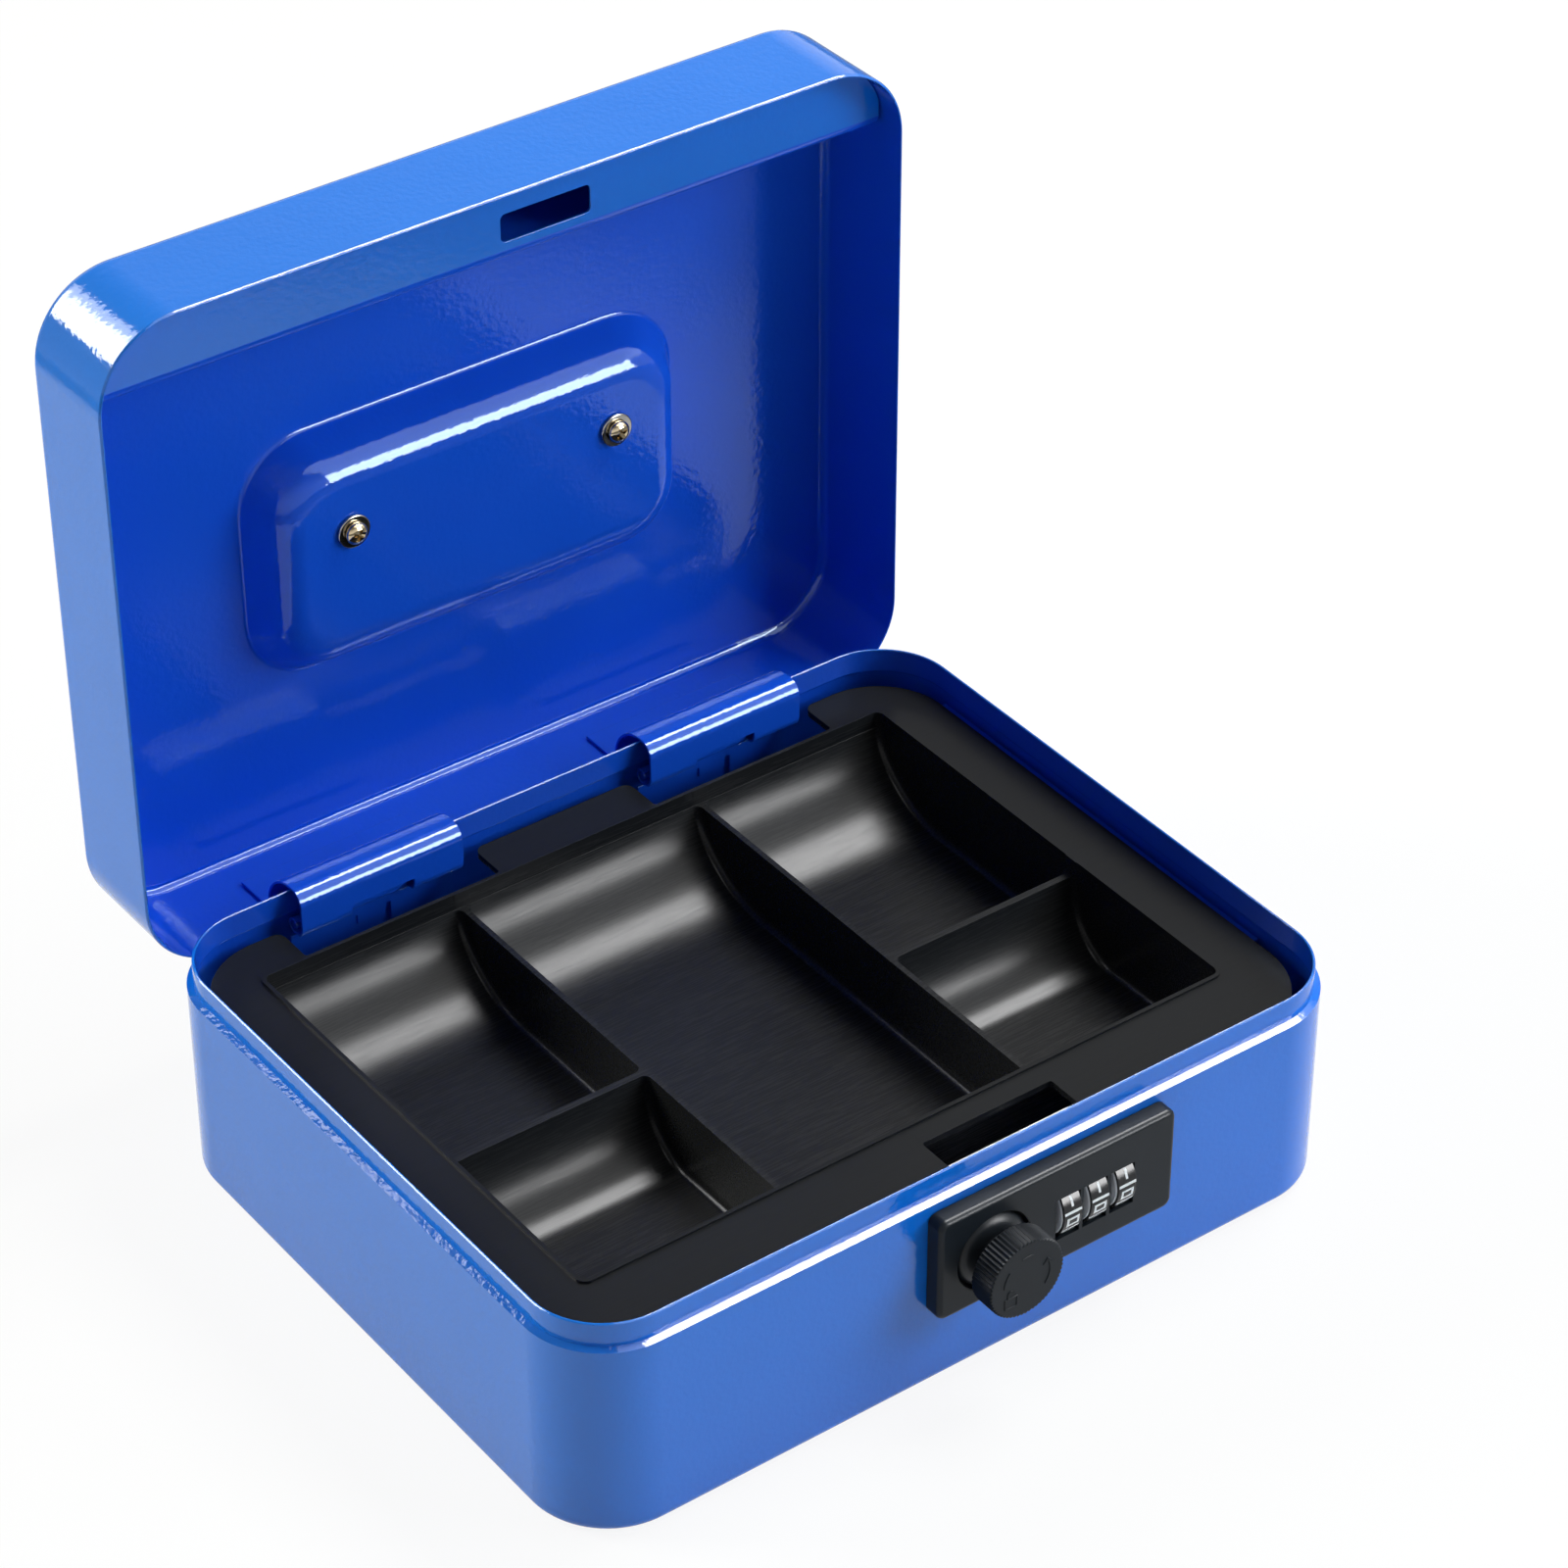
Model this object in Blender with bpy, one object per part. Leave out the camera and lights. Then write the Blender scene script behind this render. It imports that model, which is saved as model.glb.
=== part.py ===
"""Portable steel cash box with a lift-out coin tray and a three-dial lock.

+Z is up and +Y points to the back. The origin is the centre of the base's underside.
Sizes are in millimetres here and become metres when a mesh is made. The lid's pieces
are modelled closed, measured from the hinge line, and the lid pivot holds them open.
"""
import math

import bmesh
import bpy

MM = 0.001
GAP = 0.3
SMOOTH = math.radians(35.0)

# Sheet-steel box.
WIDTH = 250.0
DEPTH = 200.0
CORNER = 24.0
SHEET = 0.8
FLOOR_BEND = 3.0
BASE_RIM = 68.5
LIP_INSET = 1.8
SHOULDER_LOW = 59.3
SHOULDER_TOP = 62.0
LID_RIM = 61.5
LID_TOP = 96.0
LID_BEND = 3.5
LID_OPEN = -90.0

# Two hinges on one line inside the back wall.
HINGE_Y = 96.5
HINGE_Z = 57.2
HINGE_X = 57.5
HINGE_HALF = 26.0
KNUCKLE_HALF = 9.0
NOTCH_HALF = 10.0
NOTCH_RISE = 2.6
PIN_R = 1.3
PIN_HALF = 25.6
PIN_CHAMFER = 0.3
ROLL_R = 2.0
ROLL_TURN = 260.0
HOOD_R = 12.5
HOOD_LEG_Y = -4.5
LEAF_FOOT = 27.0
LEAF_BOTTOM = 43.8
LEAF_SHOULDER = 52.4
LEAF_SLOTS = ((-5.6, -4.8, 43.0, 50.0), (4.2, 5.9, 43.0, 50.0), (-4.9, 4.3, 43.0, 46.8))

# Ledges that carry the tray.
LEDGE_TOP = 56.0
LEDGE_FOLD = 106.0
LEDGE_Y = (-62.0, 75.0)
FOLD_R = 0.9
FOLD_TURN = 150.0

# Handle recess and bail handle on the lid.
PAN_RIM = (141.0, 77.0, 22.0, 8.5)
PAN_FLAT = (113.0, 44.5, 11.0, 6.75)
PAN_DEPTH = 13.0
PIVOT_Y = -2.0
PIVOT_Z = 88.2
WIRE_R = 2.5
ARM_X = 54.6
ARM_BEND = 4.0
GRIP_REACH = 27.0
GRIP_BEND = 8.0
STUB_X = 46.6
EAR_X = (47.0, 50.0)
EAR_TOP = 92.7
FOOT_X = 36.5
FOOT_TOP = 85.8
LUG_HALF = 5.4
SCREW_X = 42.5
SCREW_R = 1.7
HEAD_R = 3.3
HEAD_TALL = 2.2
WASHER_R = 5.0

# Latch strip behind the front of the lid.
STRIP_Z = 70.0
STRIP_REAR = -75.4
STRIP_BEND = 3.0
STRIP_LEG_TOP = 91.5
STRIP_SLOT = (-0.3, 27.9, -89.0, -80.8)
SLOT_CORNER = 1.5

# Lock on the front wall.
PLATE = (-20.0, 58.0, 26.0, 59.0)
PLATE_FACE = -105.5
PLATE_BACK = -100.3
PLATE_BEVEL = 1.5
PLATE_CORNER = 2.5
CASE = (-17.0, 54.0, 28.0, 55.5)
CASE_BACK = -85.6
CASE_WALL = 1.3
CASE_CORNER = 3.0
AXLE_RIB = (6.5, 8.7)
WALL_WINDOW = (-15.2, 52.2, 29.7, 53.8)
LOCK_SCREWS = (-12.5, 49.5)
LOCK_SCREW_Z = 33.0
LOCK_SCREW_R = 1.4
LOCK_SCREW_TIP = -102.2
LOCK_HEAD_R = 2.8
LOCK_HEAD_TALL = 1.6
KNOB_X = -1.5
LOCK_Z = 41.0
KNOB_R = 12.0
KNOB_FACE = -119.0
KNOB_REAR = -110.5
KNOB_TEETH = 36
TOOTH_DEEP = 0.5
STEM_R = 6.0
RECESS_R = 13.2
RECESS_FLOOR = -103.0
SPINDLE_R = 3.4
SPINDLE_END = -80.8
CAM_Y = (-85.2, -83.2)
CAM_TIP = 35.0
CAM_HOOK = 30.4
CAM_HUB = 8.0
CAM_NECK = ((9.5, 26.0), (2.2, 14.0))
NUT_R = 6.4
DIAL_X = (23.0, 32.0, 41.0)
DIAL_Y = -97.2
DIAL_R = 10.0
DIAL_HALF = 3.2
AXLE_R = 2.0
WINDOW_HALF = (3.5, 8.75)
SPRING_Y = (-98.4, -97.6, -96.8, -91.0)
SPRING_DROP = (0.8, 0.3, 0.3, 0.7)
SPRING_SHEET = 0.4
SLIDE_X = (12.0, 46.0)
SLIDE_Y = (-94.0, -92.0)
SLIDE_Z = (51.6, 53.4)
FINGER = 0.8
FINGER_GAP = 1.1
FINGER_DEEP = 4.0
LEVER = (44.0, 48.0)
LEVER_HALF = (3.0, 2.5)

# Coin tray.
TRAY_LOW = 56.3
TRAY_TOP = 58.3
TRAY_BOTTOM = 30.3
TRAY_WALL = 1.5
TRAY_HALF = (120.0, 95.0)
TRAY_CORNERS = (25.0, 22.0)
NOTCH_ROOT = 82.0
NOTCHES = ((-88.5, -26.0), (26.0, 87.5))
TAB_R = 3.0
WELL_X = 103.0
WELL_Y = (-69.5, 80.0)
COLUMN_X = 40.0
CROSS_Y = -7.3
RIB_HALF = 0.8
SCOOPS = (31.7, 18.6)
TRAY_SLOT = (-3.4, 39.0, -88.5, -77.3)


def clear_scene():
    for obj in list(bpy.data.objects):
        bpy.data.objects.remove(obj, do_unlink=True)


def material(name, colour, metallic, roughness):
    mat = bpy.data.materials.new(name)
    mat.use_nodes = True
    shader = mat.node_tree.nodes["Principled BSDF"]
    shader.inputs["Base Color"].default_value = (*colour, 1.0)
    shader.inputs["Metallic"].default_value = metallic
    shader.inputs["Roughness"].default_value = roughness
    return mat


def pivot(name, at, parent=None):
    empty = bpy.data.objects.new(name, None)
    empty.location = [v * MM for v in at]
    empty.parent = parent
    bpy.context.scene.collection.objects.link(empty)
    return empty


def solid(name, shape, mat, at=(0.0, 0.0, 0.0), parent=None):
    """Make an object from (points, faces); its origin is at the point given."""
    points, faces = shape
    mesh = bpy.data.meshes.new(name)
    moved = [[(p[i] - at[i]) * MM for i in range(3)] for p in points]
    mesh.from_pydata(moved, [], faces)
    work = bmesh.new()
    work.from_mesh(mesh)
    bmesh.ops.recalc_face_normals(work, faces=work.faces)
    work.to_mesh(mesh)
    work.free()
    mesh.shade_smooth()
    mesh.set_sharp_from_angle(angle=SMOOTH)
    obj = bpy.data.objects.new(name, mesh)
    obj.location = [v * MM for v in at]
    obj.parent = parent
    if mat:
        mesh.materials.append(mat)
    bpy.context.scene.collection.objects.link(obj)
    return obj


def combine(obj, shape, operation):
    """Join a hidden shape to the object or cut it away."""
    count = len(obj.modifiers) + 1
    tool = solid(f"cut_{obj.name}_{count}", shape, None, parent=obj.parent)
    tool.hide_render = True
    tool.display_type = "WIRE"
    step = obj.modifiers.new(f"{operation.lower()}_{count}", "BOOLEAN")
    step.operation = operation
    step.solver = "EXACT"
    step.object = tool


def cut(obj, shape):
    combine(obj, shape, "DIFFERENCE")


def loft(rings, looped=False):
    """Skin equal rings; close the ends with flat caps or join the last ring to the first."""
    count = len(rings[0])
    points = [p for ring in rings for p in ring]
    faces = []
    spans = len(rings) if looped else len(rings) - 1
    for i in range(spans):
        low = i * count
        high = ((i + 1) % len(rings)) * count
        for j in range(count):
            k = (j + 1) % count
            faces.append((low + j, low + k, high + k, high + j))
    if not looped:
        faces.append(tuple(range(count)))
        faces.append(tuple(range(len(points) - count, len(points))))
    return points, faces


def arc(centre, radius, start, end, steps):
    """Points on a circle, or on an ellipse when the radius is a pair."""
    wide, tall = radius if isinstance(radius, tuple) else (radius, radius)
    angles = [math.radians(start + (end - start) * i / steps) for i in range(steps + 1)]
    return [(centre[0] + wide * math.cos(a), centre[1] + tall * math.sin(a)) for a in angles]


def rounded(width, depth, radius, centre=(0.0, 0.0), steps=7):
    """Outline of a rectangle with round corners."""
    x = width / 2 - radius
    y = depth / 2 - radius
    outline = []
    for number, (sx, sy) in enumerate(((1, 1), (-1, 1), (-1, -1), (1, -1))):
        corner = (centre[0] + sx * x, centre[1] + sy * y)
        outline += arc(corner, radius, 90 * number, 90 * number + 90, steps)
    return outline


def box_outline(low_a, high_a, low_b, high_b):
    return [(low_a, low_b), (high_a, low_b), (high_a, high_b), (low_a, high_b)]


def place(outline, axis, at):
    """Lift a flat outline to a ring across the given axis."""
    if axis == "x":
        return [(at, a, b) for a, b in outline]
    if axis == "y":
        return [(a, at, b) for a, b in outline]
    return [(a, b, at) for a, b in outline]


def prism(outline, axis, low, high):
    return loft([place(outline, axis, low), place(outline, axis, high)])


def turned(profile, axis, centre, count=24, looped=False):
    """Body of revolution from (position along the axis, radius) pairs."""
    rings = [place(arc(centre, r, 0, 360 - 360 / count, count - 1), axis, at) for at, r in profile]
    return loft(rings, looped)


def tube(axis, centre, low, high, outer, inner, count=24):
    profile = [(low, inner), (low, outer), (high, outer), (high, inner)]
    return turned(profile, axis, centre, count, looped=True)


def sheet(line, thick=SHEET):
    """Outline of bent sheet of even thickness along an open line."""
    left = []
    right = []
    for i, (a, b) in enumerate(line):
        before = line[max(i - 1, 0)]
        after = line[min(i + 1, len(line) - 1)]
        ways = []
        for start, end in ((before, (a, b)), ((a, b), after)):
            length = math.dist(start, end)
            if length > 0:
                ways.append(((end[0] - start[0]) / length, (end[1] - start[1]) / length))
        mean = (ways[0][0] + ways[-1][0], ways[0][1] + ways[-1][1])
        size = math.hypot(*mean)
        normal = (-mean[1] / size, mean[0] / size)
        mitre = thick / 2 / max(0.5, size / 2)
        left.append((a + normal[0] * mitre, b + normal[1] * mitre))
        right.append((a - normal[0] * mitre, b - normal[1] * mitre))
    return left + right[::-1]


def shell_rings(steps):
    """Rings of the box plan, each given by its inset and height."""
    rings = []
    for inset, z in steps:
        outline = rounded(WIDTH - 2 * inset, DEPTH - 2 * inset, CORNER - inset)
        rings.append(place(outline, "z", z))
    return rings


def build_base(paint):
    outside = [(b, a) for a, b in arc((FLOOR_BEND, FLOOR_BEND), FLOOR_BEND, 180, 270, 3)]
    inside = [(b, a) for a, b in arc((FLOOR_BEND, FLOOR_BEND), FLOOR_BEND - SHEET, 180, 270, 3)]
    lip = LIP_INSET + SHEET
    outside += [(0.0, SHOULDER_LOW), (LIP_INSET, SHOULDER_TOP), (LIP_INSET, BASE_RIM)]
    inside += [(SHEET, SHOULDER_LOW - GAP), (lip, SHOULDER_TOP - GAP), (lip, BASE_RIM)]
    base = solid("base_shell", loft(shell_rings(outside + inside[::-1])), paint)
    cut(base, prism(box_outline(*WALL_WINDOW), "y", -DEPTH / 2 - 1, -DEPTH / 2 + 2))
    for side, sign in (("left", -1), ("right", 1)):
        build_ledge(side, sign, paint)
        build_base_leaf(side, sign * HINGE_X, paint)


def build_ledge(side, sign, paint):
    """Strip on the side wall whose edge is folded back under itself."""
    wall = WIDTH / 2 - SHEET - GAP - SHEET / 2
    level = LEDGE_TOP - SHEET / 2
    turn = (LEDGE_FOLD + SHEET / 2 + FOLD_R, level - FOLD_R)
    fold = arc(turn, FOLD_R, 90, 90 + FOLD_TURN, 5)
    fall = (wall - fold[-1][0]) * math.tan(math.radians(180 - FOLD_TURN))
    line = [(wall, level)] + fold + [(wall, fold[-1][1] - fall)]
    outline = [(sign * x, z) for x, z in sheet(line)]
    solid(f"tray_ledge_{side}", prism(outline, "y", *LEDGE_Y), paint)


def build_base_leaf(side, x, paint):
    """Leaf on the back wall with its middle rolled round the pin, painted together."""
    line = [(HINGE_Y + ROLL_R, LEAF_BOTTOM)] + arc((HINGE_Y, HINGE_Z), ROLL_R, 0, ROLL_TURN, 13)
    shape = prism(sheet(line), "x", x - HINGE_HALF, x + HINGE_HALF)
    leaf = solid(f"hinge_base_leaf_{side}", shape, paint)
    beside = box_outline(HINGE_Y - 2 * ROLL_R, HINGE_Y + 2 * ROLL_R, LEAF_SHOULDER, HINGE_Z + 2.5 * ROLL_R)
    cut(leaf, prism(beside, "x", x - HINGE_HALF - 1, x - KNUCKLE_HALF))
    cut(leaf, prism(beside, "x", x + KNUCKLE_HALF, x + HINGE_HALF + 1))
    for low, high, bottom, top in LEAF_SLOTS:
        slot = box_outline(x + low, x + high, bottom, top)
        cut(leaf, prism(slot, "y", HINGE_Y, HINGE_Y + 2 * ROLL_R))
    half = [(PIN_HALF - PIN_CHAMFER, PIN_R), (PIN_HALF, PIN_R - PIN_CHAMFER)]
    pin = [(x - out, r) for out, r in half[::-1]] + [(x + out, r) for out, r in half]
    solid(f"hinge_pin_{side}", turned(pin, "x", (HINGE_Y, HINGE_Z), 16), paint)


def build_lid(paint, zinc, grey, chrome):
    """Everything that swings with the lid, measured from the hinge line."""
    lid = pivot("lid_pivot", (0.0, HINGE_Y, HINGE_Z))
    build_lid_shell(lid, paint)
    build_latch_strip(lid, paint)
    for side, sign in (("left", -1), ("right", 1)):
        build_lid_leaf(lid, side, sign * HINGE_X, paint)
        build_handle_mount(lid, side, sign, zinc, grey, chrome)
    build_handle(lid, chrome)
    lid.rotation_euler.x = math.radians(LID_OPEN)


def from_hinge(shape):
    points, faces = shape
    return [(x, y - HINGE_Y, z - HINGE_Z) for x, y, z in points], faces


def pan_rings(drop):
    """Rings of the handle recess from its flat up to the lid's top."""
    steps = ((0.0, 0.0), (0.1, 0.03), (0.9, 0.93), (1.0, 1.0))
    rings = []
    for share, rise in steps:
        size = [a + (b - a) * share for a, b in zip(PAN_FLAT, PAN_RIM)]
        outline = rounded(size[0], size[1], size[2], (0.0, size[3]))
        rings.append(place(outline, "z", LID_TOP - PAN_DEPTH * (1 - rise) - drop))
    return rings


def build_lid_shell(lid, paint):
    turn = (LID_BEND, LID_TOP - LID_BEND)
    outside = arc(turn, LID_BEND, 90, 180, 4) + [(0.0, LID_RIM)]
    inside = arc(turn, LID_BEND - SHEET, 90, 180, 4) + [(SHEET, LID_RIM)]
    rings = pan_rings(0.0) + shell_rings(outside)
    rings += shell_rings(inside[::-1]) + pan_rings(SHEET)[::-1]
    shell = solid("lid_shell", from_hinge(loft(rings)), paint, parent=lid)
    for x in (-SCREW_X, SCREW_X):
        hole = [(LID_TOP - PAN_DEPTH - 3, SCREW_R + GAP), (LID_TOP - PAN_DEPTH + 2, SCREW_R + GAP)]
        cut(shell, from_hinge(turned(hole, "z", (x, PIVOT_Y), 16)))


def build_latch_strip(lid, paint):
    """Plate across the front of the lid with a slot for the hook and a bent rear edge."""
    reach = CORNER - SHEET - GAP
    corner_x = WIDTH / 2 - CORNER
    corner_y = DEPTH / 2 - CORNER
    edge = [(corner_x + a, -corner_y - b) for b, a in arc((0, 0), reach, 0, 72, 8)]
    stations = [(-x, y) for x, y in edge[::-1]] + edge
    turn = (STRIP_REAR - STRIP_BEND, STRIP_Z + STRIP_BEND)
    bend = arc(turn, STRIP_BEND, 270, 360, 5) + [(STRIP_REAR, STRIP_LEG_TOP)]
    rings = [place(sheet([(y, STRIP_Z)] + bend), "x", x) for x, y in stations]
    strip = solid("lid_latch_strip", from_hinge(loft(rings)), paint, parent=lid)
    low_x, high_x, low_y, high_y = STRIP_SLOT
    middle = ((low_x + high_x) / 2, (low_y + high_y) / 2)
    slot = rounded(high_x - low_x, high_y - low_y, SLOT_CORNER, middle, 3)
    cut(strip, from_hinge(prism(slot, "z", STRIP_Z - 2, STRIP_Z + 2)))


def build_lid_leaf(lid, side, x, paint):
    """Hooded leaf that reaches over the base's rim to the pin."""
    foot_angle = -math.degrees(math.asin(ROLL_R / HOOD_R))
    leg_angle = 180 - math.degrees(math.acos(-HOOD_LEG_Y / HOOD_R))
    line = [(LEAF_FOOT, -ROLL_R)] + arc((0, 0), HOOD_R, foot_angle, leg_angle, 14)
    line += [(HOOD_LEG_Y, 1.2), (HOOD_LEG_Y + 0.4, -0.4), (HOOD_LEG_Y + 1.5, -1.5)]
    line += arc((0, 0), ROLL_R, 255, 490, 12)
    closed = [(-b, a) for a, b in sheet(line)]
    leaf = prism(closed, "x", x - HINGE_HALF, x + HINGE_HALF)
    leaf = solid(f"hinge_lid_leaf_{side}", leaf, paint, parent=lid)
    notch = box_outline(-NOTCH_RISE, 4.0, HOOD_LEG_Y - 2, 4.0)
    cut(leaf, prism(notch, "x", x - NOTCH_HALF, x + NOTCH_HALF))


def build_handle_mount(lid, side, sign, zinc, grey, chrome):
    """Lug in the recess with the screw and washer that hold it from inside."""
    floor = LID_TOP - PAN_DEPTH + GAP
    profile = [(FOOT_X, floor), (EAR_X[1], floor), (EAR_X[1], EAR_TOP)]
    profile += [(EAR_X[0], EAR_TOP), (EAR_X[0], FOOT_TOP), (FOOT_X, FOOT_TOP)]
    outline = [(sign * x, z) for x, z in profile]
    lug = prism(outline, "y", PIVOT_Y - LUG_HALF, PIVOT_Y + LUG_HALF)
    lug = solid(f"handle_lug_{side}", from_hinge(lug), chrome, parent=lid)
    bore = [(sign * (EAR_X[0] - 1), WIRE_R + GAP), (sign * (EAR_X[1] + 1), WIRE_R + GAP)]
    cut(lug, from_hinge(turned(bore, "x", (PIVOT_Y, PIVOT_Z), 20)))
    at = (sign * SCREW_X, PIVOT_Y)
    hole = [(floor - 1, SCREW_R + GAP), (FOOT_TOP + 1, SCREW_R + GAP)]
    cut(lug, from_hinge(turned(hole, "z", at, 16)))
    under = LID_TOP - PAN_DEPTH - SHEET - GAP
    washer = tube("z", at, under - SHEET, under, WASHER_R, SCREW_R + GAP)
    solid(f"handle_washer_{side}", from_hinge(washer), grey, parent=lid)
    seat = under - SHEET - GAP
    dome = ((1.0, 0.55), (0.77, 0.85), (0.41, 1.0))
    profile = [(seat - HEAD_TALL * tall, HEAD_R * wide) for tall, wide in dome]
    profile += [(seat, HEAD_R), (seat, SCREW_R), (FOOT_TOP + 0.8, SCREW_R)]
    solid(f"handle_screw_{side}", from_hinge(turned(profile, "z", at, 16)), zinc, parent=lid)


def build_handle(lid, chrome):
    """Bent wire that folds flat into the recess."""
    turn = ARM_X - ARM_BEND
    half = [(STUB_X, 0.0)] + arc((turn, ARM_BEND), ARM_BEND, 270, 360, 5)
    half += arc((ARM_X - GRIP_BEND, GRIP_REACH - GRIP_BEND), GRIP_BEND, 0, 90, 6)
    path = half + [(-x, y) for x, y in half[::-1]]
    rings = []
    for i, (x, y) in enumerate(path):
        before = path[max(i - 1, 0)]
        after = path[min(i + 1, len(path) - 1)]
        size = math.dist(before, after)
        side_x = (after[1] - before[1]) / size
        side_y = -(after[0] - before[0]) / size
        circle = arc((0, 0), WIRE_R, 0, 330, 11)
        rings.append([(x + side_x * a, y + side_y * a, b) for a, b in circle])
    hinge = pivot("handle_pivot", (0.0, PIVOT_Y - HINGE_Y, PIVOT_Z - HINGE_Z), lid)
    solid("bail_handle", loft(rings), chrome, parent=hinge)


def build_lock(black, steel, zinc, white):
    plate = build_plate(black)
    case = build_case(steel)
    for side, x in zip(("left", "right"), LOCK_SCREWS):
        build_lock_screw(side, (x, LOCK_SCREW_Z), plate, case, zinc)
    build_dials(steel, white)
    build_knob(black, steel, zinc)
    build_lever(case, steel)


def spindle_bore():
    radius = SPINDLE_R + 2 * GAP
    return turned([(PLATE_FACE, radius), (CASE_BACK + 2, radius)], "y", (KNOB_X, LOCK_Z), 24)


def build_plate(black):
    """Cover on the front wall with a dish for the knob and windows for the dials."""
    low_x, high_x, low_z, high_z = PLATE
    middle = ((low_x + high_x) / 2, (low_z + high_z) / 2)
    rings = []
    for at, inset in ((PLATE_BACK, 0.0), (PLATE_FACE + PLATE_BEVEL, 0.0), (PLATE_FACE, PLATE_BEVEL)):
        size = (high_x - low_x - 2 * inset, high_z - low_z - 2 * inset)
        rings.append(place(rounded(size[0], size[1], PLATE_CORNER, middle, 3), "y", at))
    plate = solid("lock_plate", loft(rings), black)
    recess = [(PLATE_FACE - 1, RECESS_R + 0.8), (RECESS_FLOOR, RECESS_R - 2.0)]
    cut(plate, turned(recess, "y", (KNOB_X, LOCK_Z), 40))
    cut(plate, spindle_bore())
    wide, tall = WINDOW_HALF
    for x in DIAL_X:
        window = box_outline(x - wide, x + wide, LOCK_Z - tall, LOCK_Z + tall)
        cut(plate, prism(window, "y", PLATE_FACE - 1, PLATE_BACK + 1))
        room = [(x - wide - 0.1, DIAL_R + 0.4), (x + wide + 0.1, DIAL_R + 0.4)]
        cut(plate, turned(room, "x", (DIAL_Y, LOCK_Z), 40))
    return plate


def build_case(steel):
    """Cover behind the wall, open to the front, with a rib for the dial axle."""
    low_x, high_x, low_z, high_z = CASE
    middle = ((low_x + high_x) / 2, (low_z + high_z) / 2)
    front = -DEPTH / 2 + SHEET + GAP
    steps = [(CASE_BACK, 0.0), (front, 0.0), (front, CASE_WALL), (CASE_BACK - CASE_WALL, CASE_WALL)]
    rings = []
    for at, inset in steps:
        size = (high_x - low_x - 2 * inset, high_z - low_z - 2 * inset)
        rings.append(place(rounded(size[0], size[1], CASE_CORNER - inset, middle, 3), "y", at))
    case = solid("lock_case", loft(rings), steel)
    rib = box_outline(*AXLE_RIB, low_z + 0.5, LOCK_Z + 6)
    combine(case, prism(rib, "y", front + 1, CASE_BACK - 0.5), "UNION")
    cut(case, spindle_bore())
    return case


def build_lock_screw(side, at, plate, case, zinc):
    """Screw from behind the case into the plate."""
    hole = LOCK_SCREW_R + GAP
    drilled = [(LOCK_SCREW_TIP - 0.4, hole), (CASE_BACK + 1, hole)]
    cut(plate, turned(drilled, "y", at, 12))
    cut(case, turned(drilled, "y", at, 12))
    seat = CASE_BACK + GAP
    screw = [(LOCK_SCREW_TIP, LOCK_SCREW_R), (seat, LOCK_SCREW_R), (seat, LOCK_HEAD_R)]
    screw += [(seat + LOCK_HEAD_TALL, LOCK_HEAD_R - 0.5)]
    solid(f"lock_screw_{side}", turned(screw, "y", at, 12), zinc)


def build_lever(case, steel):
    """Slider on the back of the case that sets a new code, with its stem through a slot."""
    x, z = LEVER
    wide, tall = LEVER_HALF
    plate = box_outline(x - wide, x + wide, z - tall, z + tall)
    stem = box_outline(x - 2.5, x - 0.5, z - 1, z + 1)
    rings = [place(plate, "y", CASE_BACK + 2.4), place(plate, "y", CASE_BACK + GAP)]
    rings += [place(stem, "y", CASE_BACK + GAP), place(stem, "y", CASE_BACK - 1.1)]
    solid("code_change_lever", loft(rings), steel, (x, CASE_BACK, z))
    slot = box_outline(x - wide, x + wide, z - 1.4, z + 1.4)
    cut(case, prism(slot, "y", CASE_BACK - 2.5, CASE_BACK + 1))


def build_dials(steel, white):
    """Three wheels on an axle, the spring that holds their places and the slide between them."""
    centre = (DIAL_Y, LOCK_Z)
    axle = [(AXLE_RIB[1] + GAP, AXLE_R), (CASE[1] - CASE_WALL - GAP, AXLE_R)]
    solid("dial_axle", turned(axle, "x", centre, 16), steel)
    for number, x in enumerate(DIAL_X, 1):
        wheel = tube("x", centre, x - DIAL_HALF, x + DIAL_HALF, DIAL_R, AXLE_R + GAP, 40)
        solid(f"dial_wheel_{number}", wheel, white, (x, DIAL_Y, LOCK_Z))
    bottom = LOCK_Z - DIAL_R - GAP
    line = [(y, bottom - drop) for y, drop in zip(SPRING_Y, SPRING_DROP)]
    spring = prism(sheet(line, SPRING_SHEET), "x", DIAL_X[0] - DIAL_HALF, DIAL_X[2] + DIAL_HALF)
    solid("dial_spring", spring, steel)
    low, high = SLIDE_Z
    tip = low - FINGER_DEEP
    comb = [(SLIDE_X[0], low)]
    for x in DIAL_X:
        right = x - DIAL_HALF - FINGER_GAP
        left = right - FINGER
        comb += [(left, low), (left, tip), (right, tip), (right, low)]
    comb += [(SLIDE_X[1], low), (SLIDE_X[1], high), (SLIDE_X[0], high)]
    solid("lock_slide", prism(comb, "y", *SLIDE_Y), steel)


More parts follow.
